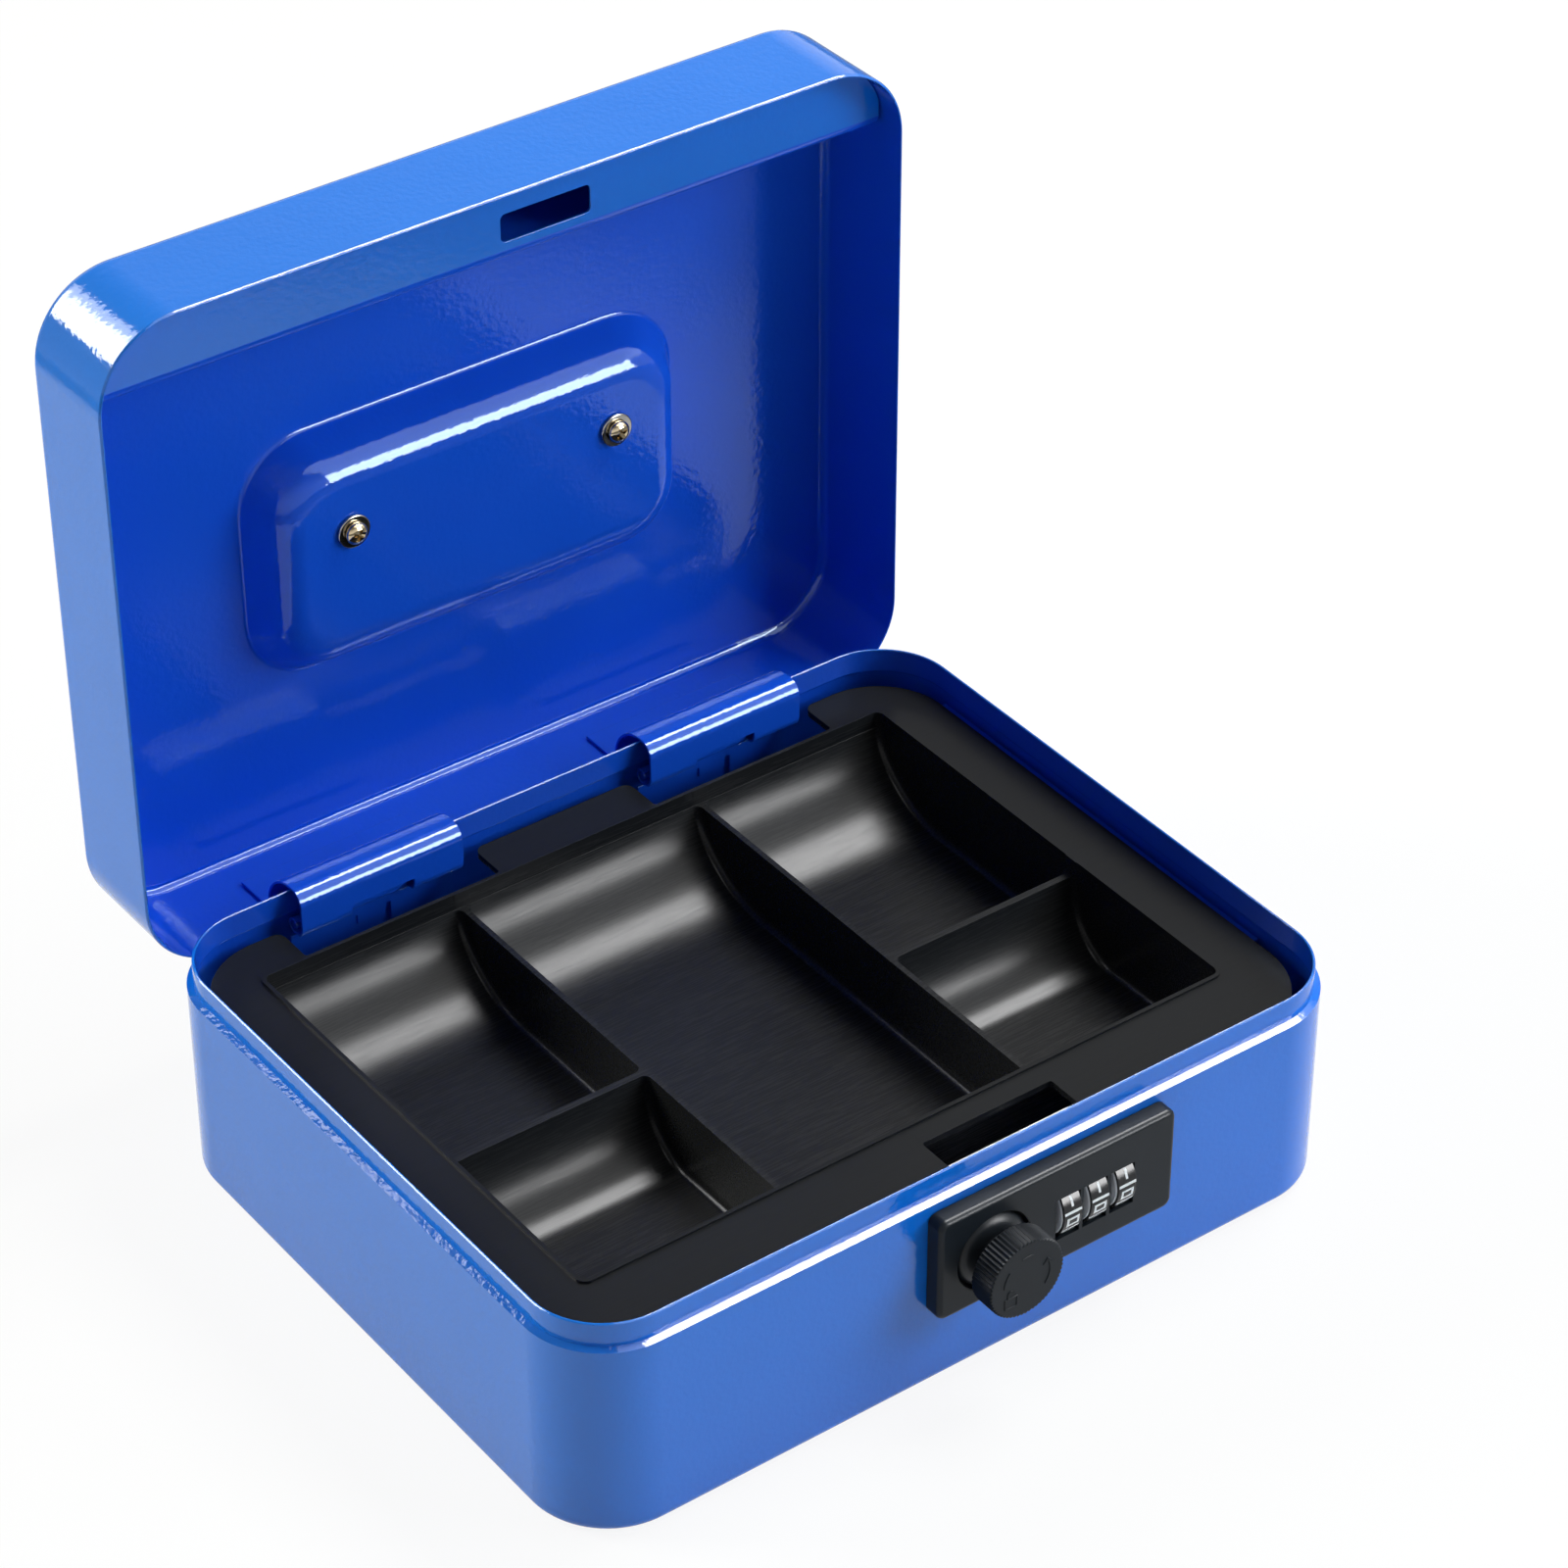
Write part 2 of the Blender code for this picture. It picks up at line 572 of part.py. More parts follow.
def build_knob(black, steel, zinc):
    """Turn knob, spindle, hook and nut; the hook lies level when the lock is open."""
    at = (KNOB_X, RECESS_FLOOR, LOCK_Z)
    hub = (KNOB_X, LOCK_Z)
    count = KNOB_TEETH * 2
    circle = arc((0, 0), 1.0, 0, 360 - 360 / count, count - 1)
    steps = ((RECESS_FLOOR - GAP, STEM_R), (KNOB_REAR, STEM_R), (KNOB_REAR, KNOB_R - 1))
    steps += ((KNOB_REAR - 0.8, KNOB_R), (KNOB_FACE + 1.2, KNOB_R), (KNOB_FACE, KNOB_R - 1.4))
    rings = []
    for y, radius in steps:
        deep = TOOTH_DEEP if radius == KNOB_R else 0.0
        reach = [radius - deep * (i % 2) for i in range(count)]
        rings.append([(hub[0] + a * r, y, hub[1] + b * r) for (a, b), r in zip(circle, reach)])
    solid("knob", loft(rings), black, at)
    spindle = [(RECESS_FLOOR, SPINDLE_R), (SPINDLE_END - 0.5, SPINDLE_R), (SPINDLE_END, SPINDLE_R - 0.5)]
    solid("knob_spindle", turned(spindle, "y", hub, 24), steel, at)
    build_hook(at, hub, steel, zinc)


def build_hook(at, hub, steel, zinc):
    """Flat hook on the spindle, drawn latched and turned level, and the nut that holds it."""
    front_neck, rear_neck = CAM_NECK
    latched = arc((0, 0), CAM_HUB, 130, 375, 14) + [front_neck]
    latched += arc((0, 0), CAM_TIP, 70, 98, 6) + arc((0, 0), CAM_HOOK, 98, 86, 4) + [rear_neck]
    level = [(hub[0] + w, hub[1] - u) for u, w in latched]
    hook = solid("latch_hook", prism(level, "y", *CAM_Y), steel, at)
    hole = [(CAM_Y[0] - 1, SPINDLE_R + GAP), (CAM_Y[1] + 1, SPINDLE_R + GAP)]
    cut(hook, turned(hole, "y", hub, 24))
    hexagon = arc(hub, NUT_R, 0, 300, 5)
    inner = arc(hub, SPINDLE_R + 2 * GAP, 0, 300, 5)
    low, high = CAM_Y[1] + GAP, SPINDLE_END - 0.6
    nut = [place(inner, "y", low), place(hexagon, "y", low)]
    nut += [place(hexagon, "y", high), place(inner, "y", high)]
    solid("hook_nut", loft(nut, looped=True), zinc, at)


def tray_outline():
    """Flange with a wide tab each side and in the middle of its rear edge."""
    x, y = TRAY_HALF
    front, rear = TRAY_CORNERS
    outline = arc((-x + front, -y + front), front, 180, 270, 7)
    outline += arc((x - front, -y + front), front, 270, 360, 7)
    outline += arc((x - rear, y - rear), rear, 0, 90, 7)
    for low, high in NOTCHES[::-1]:
        outline += arc((high + TAB_R, y - TAB_R), TAB_R, 90, 180, 3)
        outline += [(high, NOTCH_ROOT), (low, NOTCH_ROOT)]
        outline += arc((low - TAB_R, y - TAB_R), TAB_R, 0, 90, 3)
    return outline + arc((-x + rear, y - rear), rear, 90, 180, 7)


def pocket(front, back, scoop, low, high):
    """Coin pocket with a scooped back, seen from the side and drawn along x."""
    floor = TRAY_BOTTOM + TRAY_WALL
    profile = [(front, TRAY_TOP + 1), (front + 0.6, floor)]
    profile += arc((back - scoop, TRAY_TOP), (scoop, TRAY_TOP - floor), 270, 360, 8)
    return prism(profile + [(back, TRAY_TOP + 1)], "x", low, high)


def build_tray(black):
    tray = solid("coin_tray", prism(tray_outline(), "z", TRAY_LOW, TRAY_TOP), black)
    front, back = WELL_Y
    deep = (SCOOPS[0] + TRAY_WALL, TRAY_TOP - TRAY_BOTTOM)
    curve = arc((back - SCOOPS[0], TRAY_TOP), deep, 270, 355, 8)
    well = [(front - TRAY_WALL, TRAY_LOW + 0.7), (front - TRAY_WALL + 0.6, TRAY_BOTTOM)] + curve
    well += [(curve[-1][0], TRAY_LOW + 0.7)]
    side = WELL_X + TRAY_WALL
    combine(tray, prism([p for p in well if p[1] <= TRAY_LOW + 0.7], "x", -side, side), "UNION")
    cut(tray, pocket(front, back, SCOOPS[0], -COLUMN_X + RIB_HALF, COLUMN_X - RIB_HALF))
    for low, high in ((-WELL_X, -COLUMN_X - RIB_HALF), (COLUMN_X + RIB_HALF, WELL_X)):
        cut(tray, pocket(CROSS_Y + RIB_HALF, back, SCOOPS[0], low, high))
        cut(tray, pocket(front, CROSS_Y - RIB_HALF, SCOOPS[1], low, high))
    cut(tray, prism(box_outline(*TRAY_SLOT), "z", TRAY_LOW - 1, TRAY_TOP + 1))


clear_scene()
blue = material("blue_paint", (0.016, 0.06, 0.42), 0.0, 0.3)
inside_steel = material("lock_steel", (0.5, 0.5, 0.5), 1.0, 0.35)
yellow_zinc = material("yellow_zinc", (0.75, 0.62, 0.35), 1.0, 0.35)
washer_zinc = material("washer_zinc", (0.6, 0.6, 0.6), 1.0, 0.35)
bright_chrome = material("chrome_plate", (0.8, 0.8, 0.8), 1.0, 0.1)
lock_black = material("lock_plastic", (0.02, 0.022, 0.024), 0.0, 0.45)
tray_black = material("tray_plastic", (0.02, 0.021, 0.023), 0.0, 0.5)
dial_grey = material("dial_plastic", (0.03, 0.03, 0.03), 0.0, 0.4)
build_base(blue)
build_lid(blue, yellow_zinc, washer_zinc, bright_chrome)
build_lock(lock_black, inside_steel, yellow_zinc, dial_grey)
build_tray(tray_black)
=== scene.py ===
import math

import bmesh
import bpy
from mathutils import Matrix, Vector


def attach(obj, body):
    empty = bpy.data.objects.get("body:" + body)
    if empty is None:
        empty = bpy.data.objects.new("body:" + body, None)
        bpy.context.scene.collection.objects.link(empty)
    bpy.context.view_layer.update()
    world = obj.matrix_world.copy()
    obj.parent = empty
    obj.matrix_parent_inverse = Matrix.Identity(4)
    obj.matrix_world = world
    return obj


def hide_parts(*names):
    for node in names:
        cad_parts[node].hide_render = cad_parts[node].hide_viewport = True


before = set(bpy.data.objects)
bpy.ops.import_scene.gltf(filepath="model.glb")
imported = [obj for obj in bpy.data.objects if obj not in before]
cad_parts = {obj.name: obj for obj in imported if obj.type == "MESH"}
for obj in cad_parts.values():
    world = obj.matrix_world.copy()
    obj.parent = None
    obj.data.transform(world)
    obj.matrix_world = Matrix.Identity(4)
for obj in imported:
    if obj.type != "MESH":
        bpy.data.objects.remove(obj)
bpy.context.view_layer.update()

# The studio: a seamless white floor and large soft lamps, as a shop picture is taken.
# A long lens looks down on the box from its front left corner, a side with no lamp of its own.
scene = bpy.context.scene
scene.view_settings.view_transform = "Standard"
lens = bpy.data.cameras.new("long_lens")
lens.lens = 113.75
lens.sensor_width = 36.0
lens.clip_end = 30.0
camera = bpy.data.objects.new("camera", lens)
camera.location = (-0.60658, -0.83251, 0.87949)
camera.rotation_euler = (math.radians(90.0 - 36.22), 0.0, math.radians(-36.53))
scene.collection.objects.link(camera)
scene.camera = camera


def add(tree, kind, settings=None, **inputs):
    """Adds a node; an input is a number, a colour or the socket that feeds it."""
    made = tree.nodes.new(kind)
    for name, value in (settings or {}).items():
        setattr(made, name, value)
    for name, value in inputs.items():
        spot = made.inputs[int(name[1:])] if name[1:].isdigit() else made.inputs[name.replace("_", " ")]
        if isinstance(value, bpy.types.NodeSocket):
            tree.links.new(value, spot)
        else:
            spot.default_value = value
    return made


def new_finish(name):
    """A material with an empty node tree and its output node."""
    made = bpy.data.materials.new(name)
    made.use_nodes = True
    made.node_tree.nodes.clear()
    return made, made.node_tree, made.node_tree.nodes.new("ShaderNodeOutputMaterial")


sweep, tree, end = new_finish("white_sweep")
path = add(tree, "ShaderNodeLightPath")
seen = add(tree, "ShaderNodeMath", {"operation": "MAXIMUM"},
           _0=path.outputs["Is Camera Ray"], _1=path.outputs["Is Glossy Ray"])
seen = add(tree, "ShaderNodeMath", {"operation": "MAXIMUM"},
           _0=seen.outputs[0], _1=path.outputs["Is Transmission Ray"])
where = add(tree, "ShaderNodeTexCoord").outputs["Object"]
# Seen in reflections, the floor is painted darker from about half a metre away from the box: painted shade.
away = add(tree, "ShaderNodeVectorMath", {"operation": "DISTANCE"}, _0=where, _1=(-0.2, 0.1, 0.0))
fall = add(tree, "ShaderNodeMapRange", Value=away.outputs["Value"], From_Min=0.44, From_Max=0.53, To_Min=0.1, To_Max=0.85)
dim = add(tree, "ShaderNodeMath", {"operation": "MULTIPLY"}, _0=fall.outputs[0], _1=path.outputs["Is Glossy Ray"])
share = add(tree, "ShaderNodeMapRange", Value=dim.outputs[0], From_Min=0.0, From_Max=1.0, To_Min=0.9, To_Max=0.0)
share = add(tree, "ShaderNodeMath", {"operation": "MULTIPLY"}, _0=seen.outputs[0], _1=share.outputs[0])
tone = add(tree, "ShaderNodeMapRange", Value=dim.outputs[0], From_Min=0.0, From_Max=1.0, To_Min=0.78, To_Max=0.02)
paper = add(tree, "ShaderNodeBsdfDiffuse", Color=tone.outputs[0])
glow = add(tree, "ShaderNodeEmission", Color=(1.0, 1.0, 1.0, 1.0), Strength=1.0)
both = add(tree, "ShaderNodeMixShader", _0=share.outputs[0], _1=paper.outputs[0], _2=glow.outputs[0])
tree.links.new(both.outputs[0], end.inputs["Surface"])

floor_mesh = bpy.data.meshes.new("floor")
floor_mesh.from_pydata([(-8, -8, 0), (8, -8, 0), (8, 8, 0), (-8, 8, 0)], [], [(0, 1, 2, 3)])
floor_mesh.materials.append(sweep)
floor = bpy.data.objects.new("floor", floor_mesh)
floor.location.z = -0.0004
scene.collection.objects.link(floor)

surround = bpy.data.worlds.new("surround")
scene.world = surround
surround.use_nodes = True
tree = surround.node_tree
tree.nodes.clear()
path = add(tree, "ShaderNodeLightPath")
way = add(tree, "ShaderNodeSeparateXYZ", Vector=add(tree, "ShaderNodeTexCoord").outputs["Generated"])
ceiling = add(tree, "ShaderNodeMapRange", Value=way.outputs["Z"], From_Min=0.3, From_Max=0.7, To_Min=1.0, To_Max=0.25)
pale = add(tree, "ShaderNodeMath", {"operation": "MAXIMUM"}, _0=path.outputs["Is Camera Ray"], _1=ceiling.outputs[0])
room = add(tree, "ShaderNodeBackground", Color=(0.85, 0.92, 1.0, 1.0), Strength=0.14)
white = add(tree, "ShaderNodeBackground", Color=(1.0, 1.0, 1.0, 1.0), Strength=pale.outputs[0])
seen = add(tree, "ShaderNodeMath", {"operation": "MAXIMUM"},
           _0=path.outputs["Is Camera Ray"], _1=path.outputs["Is Glossy Ray"])
seen = add(tree, "ShaderNodeMath", {"operation": "MAXIMUM"},
           _0=seen.outputs[0], _1=path.outputs["Is Transmission Ray"])
both = add(tree, "ShaderNodeMixShader", _0=seen.outputs[0], _1=room.outputs[0], _2=white.outputs[0])
tree.links.new(both.outputs[0], tree.nodes.new("ShaderNodeOutputWorld").inputs["Surface"])


def softbox(name, place, aim, width, height, power, tint=(1.0, 1.0, 1.0), matt=True, gloss=True):
    """A rectangular lamp at a place, turned to face the aim; it may light only matt or only glossy rays."""
    lamp = bpy.data.lights.new(name, "AREA")
    lamp.shape = "RECTANGLE"
    lamp.size = width
    lamp.size_y = height
    lamp.energy = power
    lamp.color = tint
    held = bpy.data.objects.new(name, lamp)
    held.location = place
    held.rotation_euler = (Vector(aim) - Vector(place)).to_track_quat("-Z", "Y").to_euler()
    held.visible_diffuse = matt
    held.visible_glossy = gloss
    scene.collection.objects.link(held)


warm, cool = (1.0, 1.0, 0.86), (0.74, 0.87, 1.0)
softbox("overhead_light", (0.84, 0.0, 1.52), (0.0, 0.0, 0.05), 0.8, 0.6, 23.0, (1.0, 1.0, 0.93), gloss=False)
softbox("overhead_shine", (0.84, 0.15, 1.6), (0.0, 0.0, 0.05), 0.9, 0.9, 80.0, matt=False)
softbox("overhead_glow", (0.84, -0.55, 1.5), (0.0, 0.0, 0.05), 2.2, 2.2, 40.0, matt=False)
softbox("front_right_light", (1.5, -1.3, 1.0), (0.0, 0.0, 0.1), 1.1, 0.9, 30.0, cool, gloss=False)
softbox("front_right_shine", (1.02, -1.72, 0.62), (0.0, 0.0, 0.1), 0.9, 0.85, 60.0, matt=False)
softbox("rear_left_light", (-1.35, 1.45, 1.15), (0.0, 0.1, 0.15), 0.9, 0.9, 42.0, warm, gloss=False)
softbox("rear_left_shine", (-1.264, 1.353, 1.3), (0.0, 0.1, 0.23), 1.2, 1.3, 56.0, matt=False)
softbox("rear_left_glow", (-1.15, 1.45, 1.36), (0.0, 0.1, 0.23), 1.4, 1.4, 42.0, matt=False)

# A grey card that glows, seen only in reflections: a painted reflection of a dim panel at the rear left.
card_mesh = bpy.data.meshes.new("grey_card")
card_mesh.from_pydata([(-1.25, 0.15, 0.0), (-0.25, 1.25, 0.0), (-0.25, 1.25, 0.5), (-1.25, 0.15, 0.5)],
                      [], [(0, 1, 2, 3)])
card_face, tree, end = new_finish("card_face")
dull = add(tree, "ShaderNodeEmission", Color=(1.0, 1.0, 1.0, 1.0), Strength=0.62)
tree.links.new(dull.outputs[0], end.inputs["Surface"])
card_mesh.materials.append(card_face)
card = bpy.data.objects.new("grey_card", card_mesh)
scene.collection.objects.link(card)
card.visible_camera = False
card.visible_diffuse = False
card.visible_shadow = False

# Base: one sheet of steel drawn into a tray with round corners, stepped in near the top so that
# the lid shuts over its lip. Stove-enamelled blue, glossy, with the faint ripple of sprayed paint.
PLAN = (250.0, 200.0, 24.0)
SHEET = 0.8


def bend(centre, radius, start, finish, steps):
    """Points round an arc, angles in degrees; a pair of radii gives an ellipse."""
    wide, tall = radius if isinstance(radius, tuple) else (radius, radius)
    angles = [math.radians(start + (finish - start) * i / steps) for i in range(steps + 1)]
    return [(centre[0] + wide * math.cos(a), centre[1] + tall * math.sin(a)) for a in angles]


def outline(width, depth, radius, centre=(0.0, 0.0), steps=20):
    """A rectangle with round corners, as marked out on the sheet."""
    points = []
    for turn, (sx, sy) in enumerate(((1, 1), (-1, 1), (-1, -1), (1, -1))):
        corner = (centre[0] + sx * (width / 2 - radius), centre[1] + sy * (depth / 2 - radius))
        points += bend(corner, radius, 90 * turn, 90 * turn + 90, steps)
    return points


def across(points, axis, at):
    """Stands a flat outline up as a ring across the x, y or z axis."""
    if axis == "x":
        return [(at, a, b) for a, b in points]
    if axis == "y":
        return [(a, at, b) for a, b in points]
    return [(a, b, at) for a, b in points]


def skin(rings, looped=False):
    """Covers equal rings; the two ends are capped, or joined when looped."""
    count = len(rings[0])
    points = [p for ring in rings for p in ring]
    faces = []
    for i in range(len(rings) if looped else len(rings) - 1):
        low, high = i * count, (i + 1) % len(rings) * count
        for j in range(count):
            k = (j + 1) % count
            faces.append((low + j, low + k, high + k, high + j))
    if not looped:
        faces += [tuple(range(count)), tuple(range(len(points) - count, len(points)))]
    return points, faces


def blank(name, shape):
    """A plain part, sizes in millimetres, with its faces turned outwards."""
    mesh = bpy.data.meshes.new(name)
    mesh.from_pydata([tuple(c * 0.001 for c in p) for p in shape[0]], [], shape[1])
    work = bmesh.new()
    work.from_mesh(mesh)
    bmesh.ops.remove_doubles(work, verts=work.verts, dist=1e-7)
    bmesh.ops.recalc_face_normals(work, faces=work.faces)
    work.to_mesh(mesh)
    work.free()
    part = bpy.data.objects.new(name, mesh)
    scene.collection.objects.link(part)
    return part


def machine(part, shape, way="DIFFERENCE"):
    """Cuts a shape out of a part, or joins it on with UNION."""
    tool = blank("tool", shape)
    step = part.modifiers.new("cut", "BOOLEAN")
    step.operation = way
    step.solver = "EXACT"
    step.object = tool
    ready = part.evaluated_get(bpy.context.evaluated_depsgraph_get())
    mesh = bpy.data.meshes.new_from_object(ready)
    part.modifiers.clear()
    old = part.data
    part.data = mesh
    bpy.data.meshes.remove(old)
    bpy.data.objects.remove(tool)


def fit(part, finish, slot, body, *nodes, edge=0.0, crease=34.0):
    """Softens a part's edges, paints it, and hangs it on its body in place of the CAD nodes."""
    if not part.data.materials:
        part.data.materials.append(finish)
    part.data.shade_smooth()
    part.data.set_sharp_from_angle(angle=math.radians(crease))
    if edge:
        soft = part.modifiers.new("soft_edge", "BEVEL")
        soft.width = edge * 0.001
        soft.segments = 2
        soft.limit_method = "ANGLE"
        soft.angle_limit = math.radians(crease)
    even = part.modifiers.new("even_shading", "WEIGHTED_NORMAL")
    even.keep_sharp = True
    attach(part, body)
    if nodes:
        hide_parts(*nodes)
    return part


spray = bpy.data.node_groups.new("sprayed_ripple", "ShaderNodeTree")
spray.interface.new_socket("Ripple Scale", in_out="INPUT", socket_type="NodeSocketFloat")
spray.interface.new_socket("Height", in_out="OUTPUT", socket_type="NodeSocketFloat")
spray.interface.new_socket("Cloud", in_out="OUTPUT", socket_type="NodeSocketFloat")
inlet = spray.nodes.new("NodeGroupInput")
outlet = spray.nodes.new("NodeGroupOutput")
where = add(spray, "ShaderNodeTexCoord").outputs["Object"]
fine = add(spray, "ShaderNodeTexNoise", Vector=where, Scale=inlet.outputs["Ripple Scale"], Detail=2.0, Roughness=0.45)
wave = add(spray, "ShaderNodeTexNoise", Vector=where, Scale=60.0, Detail=1.0)
cloud = add(spray, "ShaderNodeTexNoise", Vector=where, Scale=14.0, Detail=2.0)
height = add(spray, "ShaderNodeMath", {"operation": "MULTIPLY_ADD"}, _0=wave.outputs["Fac"], _1=1.6, _2=fine.outputs["Fac"])
spray.links.new(height.outputs[0], outlet.inputs["Height"])
spray.links.new(cloud.outputs["Fac"], outlet.inputs["Cloud"])


def enamelled(name, thin, thick, sheen):
    """Glossy stove enamel between two tones, from a thinner coat to a thicker one, with its reflections tinted by the
    sheen colour; a bluish sheen paints shade into the reflections.
    """
    made, tree, end = new_finish(name)
    coat = add(tree, "ShaderNodeGroup", {"node_tree": spray}, Ripple_Scale=620.0)
    tone = add(tree, "ShaderNodeValToRGB", Fac=coat.outputs["Cloud"])
    tone.color_ramp.elements[0].position = 0.3
    tone.color_ramp.elements[0].color = (*thin, 1.0)
    tone.color_ramp.elements[1].position = 0.7
    tone.color_ramp.elements[1].color = (*thick, 1.0)
    gloss = add(tree, "ShaderNodeMapRange", Value=coat.outputs["Cloud"], From_Min=0.3, From_Max=0.7,
                To_Min=0.05, To_Max=0.09)
    ripple = add(tree, "ShaderNodeBump", Strength=0.2, Distance=0.00035, Height=coat.outputs["Height"])
    paint = add(tree, "ShaderNodeBsdfPrincipled", Base_Color=tone.outputs["Color"], Roughness=gloss.outputs[0],
                Normal=ripple.outputs[0], IOR=1.5, Specular_Tint=(*sheen, 1.0))
    tree.links.new(paint.outputs[0], end.inputs["Surface"])
    return made


enamel = enamelled("blue_enamel", (0.004, 0.145, 0.62), (0.006, 0.157, 0.66), (1.0, 1.0, 1.0))
# Painted shade: a copy of the same enamel in a deeper, less green blue with bluish reflections, for the hollow sides
# and the parts inside the box.
enamel_painted_shade = enamelled("blue_enamel_painted_shade", (0.007, 0.084, 0.62), (0.009, 0.094, 0.66), (0.66, 0.86, 1.0))


def paint_shade_inside(part, test):
    """Gives the faces that pass the test the shaded copy of the enamel, a painted shade, and the rest the outside
    enamel.
    """
    part.data.materials.clear()
    part.data.materials.append(enamel)
    part.data.materials.append(enamel_painted_shade)
    for face in part.data.polygons:
        face.material_index = 1 if test(face.center * 1000.0, face.normal) else 0


def drawn(steps):
    """Rings of the box plan, each from its inset and its height."""
    width, depth, radius = PLAN
    return [across(outline(width - 2 * i, depth - 2 * i, radius - i), "z", z) for i, z in steps]


def inset_of(x, y):
    """How far a point lies inside the box plan."""
    width, depth, radius = PLAN
    dx = max(abs(x) - width / 2 + radius, 0.0)
    dy = max(abs(y) - depth / 2 + radius, 0.0)
    return radius - max(math.hypot(dx, dy), abs(x) - width / 2 + radius, abs(y) - depth / 2 + radius)


outside = bend((3.0, 3.0), 3.0, 270, 180, 6)
outside += [(0.0, 60.678), (1.8, 61.333)]
outside += [(1.8, 68.1), (1.806, 68.19), (1.83, 68.24), (2.13, 68.45), (2.2, 68.485), (2.28, 68.5)]
inside = bend((3.0, 3.0), 2.2, 270, 180, 6)
inside += bend((1.3, 59.769), 0.5, 180, 110, 5) + bend((1.5, 61.544), 1.1, -70, 0, 4)
inside += [(2.6, 68.1), (2.57, 68.27), (2.48, 68.41), (2.36, 68.485)]
base = blank("base_pressing", skin(drawn(outside + inside[::-1])))
opening = [(-15.2, 29.7), (52.2, 29.7), (52.2, 53.8), (-15.2, 53.8)]
machine(base, skin([across(opening, "y", -103.0), across(opening, "y", -97.0)]))
# The inside faces of the base take the shaded copy of the enamel, a painted shade.
paint_shade_inside(base, lambda at, way: at.z < 67.0 and inset_of(at.x, at.y) > (0.75 if at.z < 60.5 else 2.2)
             and at.z > 0.4)
fit(base, enamel, "blue_paint", "base", "base_shell", crease=40.0)

# Tray ledges: a strip of the same sheet on each side wall, folded back under itself like a hem.
# They are spot-welded inside the base before it is sprayed, and the coin tray's flange lies on them.
LEDGE_TOP = 56.0
LEDGE_ENDS = (-62.0, 75.0)


def strip_of(line, thick=SHEET):
    """Outline of a bent strip of even thickness along an open line."""
    left, right = [], []
    for i, (a, b) in enumerate(line):
        before, after = line[max(i - 1, 0)], line[min(i + 1, len(line) - 1)]
        ways = []
        for start, finish in ((before, (a, b)), ((a, b), after)):
            length = math.dist(start, finish)
            if length > 1e-9:
                ways.append(((finish[0] - start[0]) / length, (finish[1] - start[1]) / length))
        mean = (ways[0][0] + ways[-1][0], ways[0][1] + ways[-1][1])
        size = math.hypot(*mean)
        mitre = thick / 2 / max(0.5, size / 2)
        left.append((a - mean[1] / size * mitre, b + mean[0] / size * mitre))
        right.append((a + mean[1] / size * mitre, b - mean[0] / size * mitre))
    return left + right[::-1]


wall = 123.5
level = LEDGE_TOP - SHEET / 2
fold = bend((107.3, level - 0.9), 0.9, 90, 240, 12)
drop = (wall - fold[-1][0]) * math.tan(math.radians(30.0))
hem = strip_of([(wall, level)] + fold + [(wall, fold[-1][1] - drop)])
for side, sign in (("left", -1), ("right", 1)):
    section = [(sign * x, z) for x, z in hem]
    ledge = blank(f"tray_ledge_strip_{side}", skin([across(section, "y", at) for at in LEDGE_ENDS]))
    # The ledges take the shaded copy of the enamel, a painted shade.
    fit(ledge, enamel_painted_shade, "blue_paint", "base", f"tray_ledge_{side}", edge=0.2)

# Hinges on the base: two leaves on the back wall, each with a middle knuckle rolled round a steel pin.
# The leaf is staked through three slots, and leaf and pin are painted together after assembly.
HINGE_LINE = (96.5, 57.2)
HINGE_MIDDLES = (("left", -57.5), ("right", 57.5))


def turned(profile, axis, centre, sides=48, looped=False):
    """A body of revolution from (place along the axis, radius) pairs."""
    circle = [(math.cos(2 * math.pi * i / sides), math.sin(2 * math.pi * i / sides)) for i in range(sides)]
    rings = [across([(centre[0] + r * c, centre[1] + r * s) for c, s in circle], axis, at) for at, r in profile]
    return skin(rings, looped)


def block(low_a, high_a, low_b, high_b, axis, low, high):
    """A straight block with a rectangular section across an axis."""
    corners = [(low_a, low_b), (high_a, low_b), (high_a, high_b), (low_a, high_b)]
    return skin([across(corners, axis, low), across(corners, axis, high)])


pin_y, pin_z = HINGE_LINE
for side, middle in HINGE_MIDDLES:
    roll = strip_of([(pin_y + 2.0, 43.8)] + bend(HINGE_LINE, 2.0, 0, 260, 28))
    leaf = blank(f"base_leaf_{side}", skin([across(roll, "x", middle - 26.0), across(roll, "x", middle + 26.0)]))
    for low, high in ((middle - 27.0, middle - 9.0), (middle + 9.0, middle + 27.0)):
        machine(leaf, block(pin_y - 4, pin_y + 4, 52.4, pin_z + 5, "x", low, high))
    for low, high, bottom, top in ((-5.6, -4.8, 43.0, 50.0), (4.2, 5.9, 43.0, 50.0), (-4.9, 4.3, 43.0, 46.8)):
        machine(leaf, block(middle + low, middle + high, bottom, top, "y", pin_y, pin_y + 4))
    # Leaf and pin take the shaded copy of the enamel, a painted shade.
    fit(leaf, enamel_painted_shade, "blue_paint", "base", f"hinge_base_leaf_{side}", edge=0.15)
    ends = [(-25.6, 1.0), (-25.3, 1.25), (-25.1, 1.3), (25.1, 1.3), (25.3, 1.25), (25.6, 1.0)]
    pin = blank(f"hinge_pin_rod_{side}", turned([(middle + x, r) for x, r in ends], "x", HINGE_LINE, 24))
    fit(pin, enamel_painted_shade, "blue_paint", "base", f"hinge_pin_{side}", crease=50.0)

